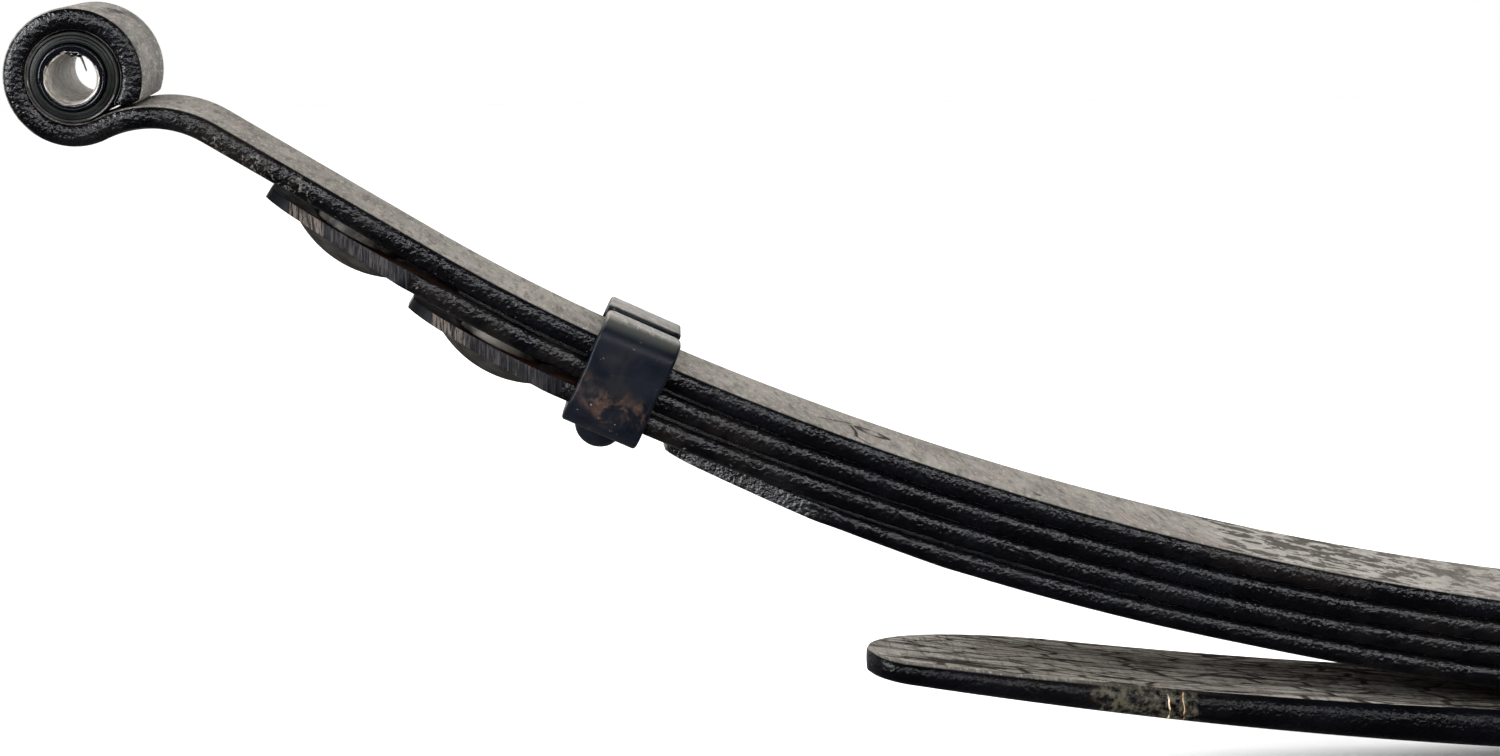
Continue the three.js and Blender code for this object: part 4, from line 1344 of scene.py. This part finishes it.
CAMERA_PLACE = (-0.541, -0.9138, 0.2719)
CAMERA_RIGHT = (0.9958, -0.0915, -0.0005)
CAMERA_UP = (0.01479, 0.15538, 0.98774)
CAMERA_LENS = 70.16
FLOOR_SIZE = 5
FLOOR_BACK = 1


def camera():
    data = bpy.data.cameras.new("camera")
    data.lens = CAMERA_LENS
    data.sensor_width = 36
    data.clip_start = 0.02
    data.clip_end = 60
    view = bpy.data.objects.new("camera", data)
    bpy.context.scene.collection.objects.link(view)
    right, up = Vector(CAMERA_RIGHT).normalized(), Vector(CAMERA_UP)
    back = right.cross(up).normalized()
    up = back.cross(right)
    turn = Matrix((right, up, back)).transposed().to_4x4()
    view.matrix_world = Matrix.Translation(CAMERA_PLACE) @ turn
    bpy.context.scene.camera = view


def floor():
    """A plain pale floor, just under the centre bolt's head."""
    g = Graph("pale_floor", specular=0.2)
    tone = g.noise(3, 3, 0.5)
    colour = g.mix(g.between(tone, 0.3, 0.7), (0.90, 0.90, 0.895), (0.93, 0.93, 0.925))
    bm = bmesh.new()
    bmesh.ops.create_grid(bm, x_segments=8, y_segments=8, size=FLOOR_SIZE / 2)
    mesh = bpy.data.meshes.new("floor")
    bm.to_mesh(mesh)
    bm.free()
    mesh.materials.append(g.coat(colour, roughness=g.varied(tone, 0.7, 0.8)))
    plane = bpy.data.objects.new("floor", mesh)
    plane.location = (0, FLOOR_BACK, cad_low.z - 0.0002)
    plane.visible_glossy = False
    bpy.context.scene.collection.objects.link(plane)


def softbox(name, place, target, width, height, power, colour, seen_in_gloss=True):
    data = bpy.data.lights.new(name, "AREA")
    data.shape = "RECTANGLE"
    data.size, data.size_y = width, height
    data.energy = power
    data.color = colour
    light = bpy.data.objects.new(name, data)
    light.location = place
    light.rotation_mode = "QUATERNION"
    light.rotation_quaternion = (Vector(target) - Vector(place)).to_track_quat("-Z", "Y")
    light.visible_glossy = seen_in_gloss
    light.visible_camera = False
    bpy.context.scene.collection.objects.link(light)


def studio_world():
    """White to the camera; for light, bright along the horizon behind the spring and dim elsewhere."""
    world = bpy.data.worlds.new("studio")
    bpy.context.scene.world = world
    world.use_nodes = True
    g = Nodes(world.node_tree)
    direction = g.nodes.new("ShaderNodeTexCoord").outputs["Generated"]
    height = g.axis(direction, 2)
    ramp = g.nodes.new("ShaderNodeValToRGB")
    g.give(ramp.inputs["Fac"], height)
    stops = ramp.color_ramp.elements
    stops[0].position, stops[0].color = 0.0, (0.9, 0.9, 0.9, 1)
    stops[1].position, stops[1].color = 0.42, (1.0, 0.98, 0.95, 1)
    for position, colour in ((0.56, (0.30, 0.30, 0.31, 1)), (0.8, (0.10, 0.10, 0.11, 1))):
        stops.new(position).color = colour
    behind = g.between(g.axis(direction, 1), -0.35, 0.15, 0.05, 1.0)
    above = g.between(height, -0.30, -0.04, 0.22, 1.0)
    lit = g.nodes.new("ShaderNodeBackground")
    g.give(lit.inputs["Color"], ramp.outputs["Color"])
    g.give(lit.inputs["Strength"], g.both(behind, above))
    seen = g.nodes.new("ShaderNodeBackground")
    seen.inputs["Color"].default_value = (1, 1, 1, 1)
    mixer = g.nodes.new("ShaderNodeMixShader")
    g.give(mixer.inputs["Fac"], g.nodes.new("ShaderNodeLightPath").outputs["Is Camera Ray"])
    g.give(mixer.inputs[1], lit.outputs[0])
    g.give(mixer.inputs[2], seen.outputs[0])
    output = g.nodes.new("ShaderNodeOutputWorld")
    g.give(output.inputs["Surface"], mixer.outputs[0])


def studio():
    floor()
    studio_world()
    softbox("overhead", (0, 0, 3.4), (0, 0, 0), 8.0, 7.0, 430, (1, 1, 1), seen_in_gloss=False)
    softbox("edge_strip", (0.2, -1.8, 0.88), (0.0, 0, 0.1), 5.0, 0.36, 95, (0.96, 0.97, 1.0))
    softbox("left_box", (-1.8, -0.85, 0.70), (-0.66, 0, 0.22), 0.5, 1.3, 72, (0.95, 0.97, 1.0))
    bpy.context.scene.view_settings.view_transform = "Standard"


# ---- The spring ----------------------------------------------------------------------------------

camera()
studio()

main_leaf([leaf_paint("main_leaf_paint"), leaf_top("main_leaf_top_paint")])
lower_leaves = tip_paint("lower_leaf_paint")
tips = tip_face("lower_leaf_tip_paint")
for leaf, name in ((1, "second_leaf"), (2, "third_leaf")):
    nose = beside_line(REACHES[leaf], bottom_offset(leaf, REACHES[leaf]))[0] * MM
    lower_leaf(name, leaf, [lower_leaves, sheared_paint(f"{name}_wall_paint", nose), tips])
lower_leaf("fourth_leaf", 3, [lower_leaves, lower_leaves, lower_leaves])
overload_leaf([overload_paint("overload_leaf_paint"), overload_top("overload_leaf_top_paint")])

fasteners = fastener_steel("phosphated_steel")
centre_bolt([fasteners])
centre_nut([fasteners])

strap = clip_paint("clip_paint")
pads = pad_plastic("pad_plastic")
shells = shell_steel("bush_shell_steel")
sleeves = sleeve_steel("bush_sleeve_steel")
rubber = moulded_rubber("bush_rubber")
drip = wet_paint("paint_run")
for end, side in SIDES.items():
    rebound_clip(f"{end}_clip", side, [strap])
    clip_rivet(f"{end}_clip_rivet", side, [strap])
    silencer_pad(f"second_leaf_{end}_pad", 1, side, [pads])
    silencer_pad(f"third_leaf_{end}_pad", 2, side, [pads])
    bush(end, shells, rubber, sleeves, drip)
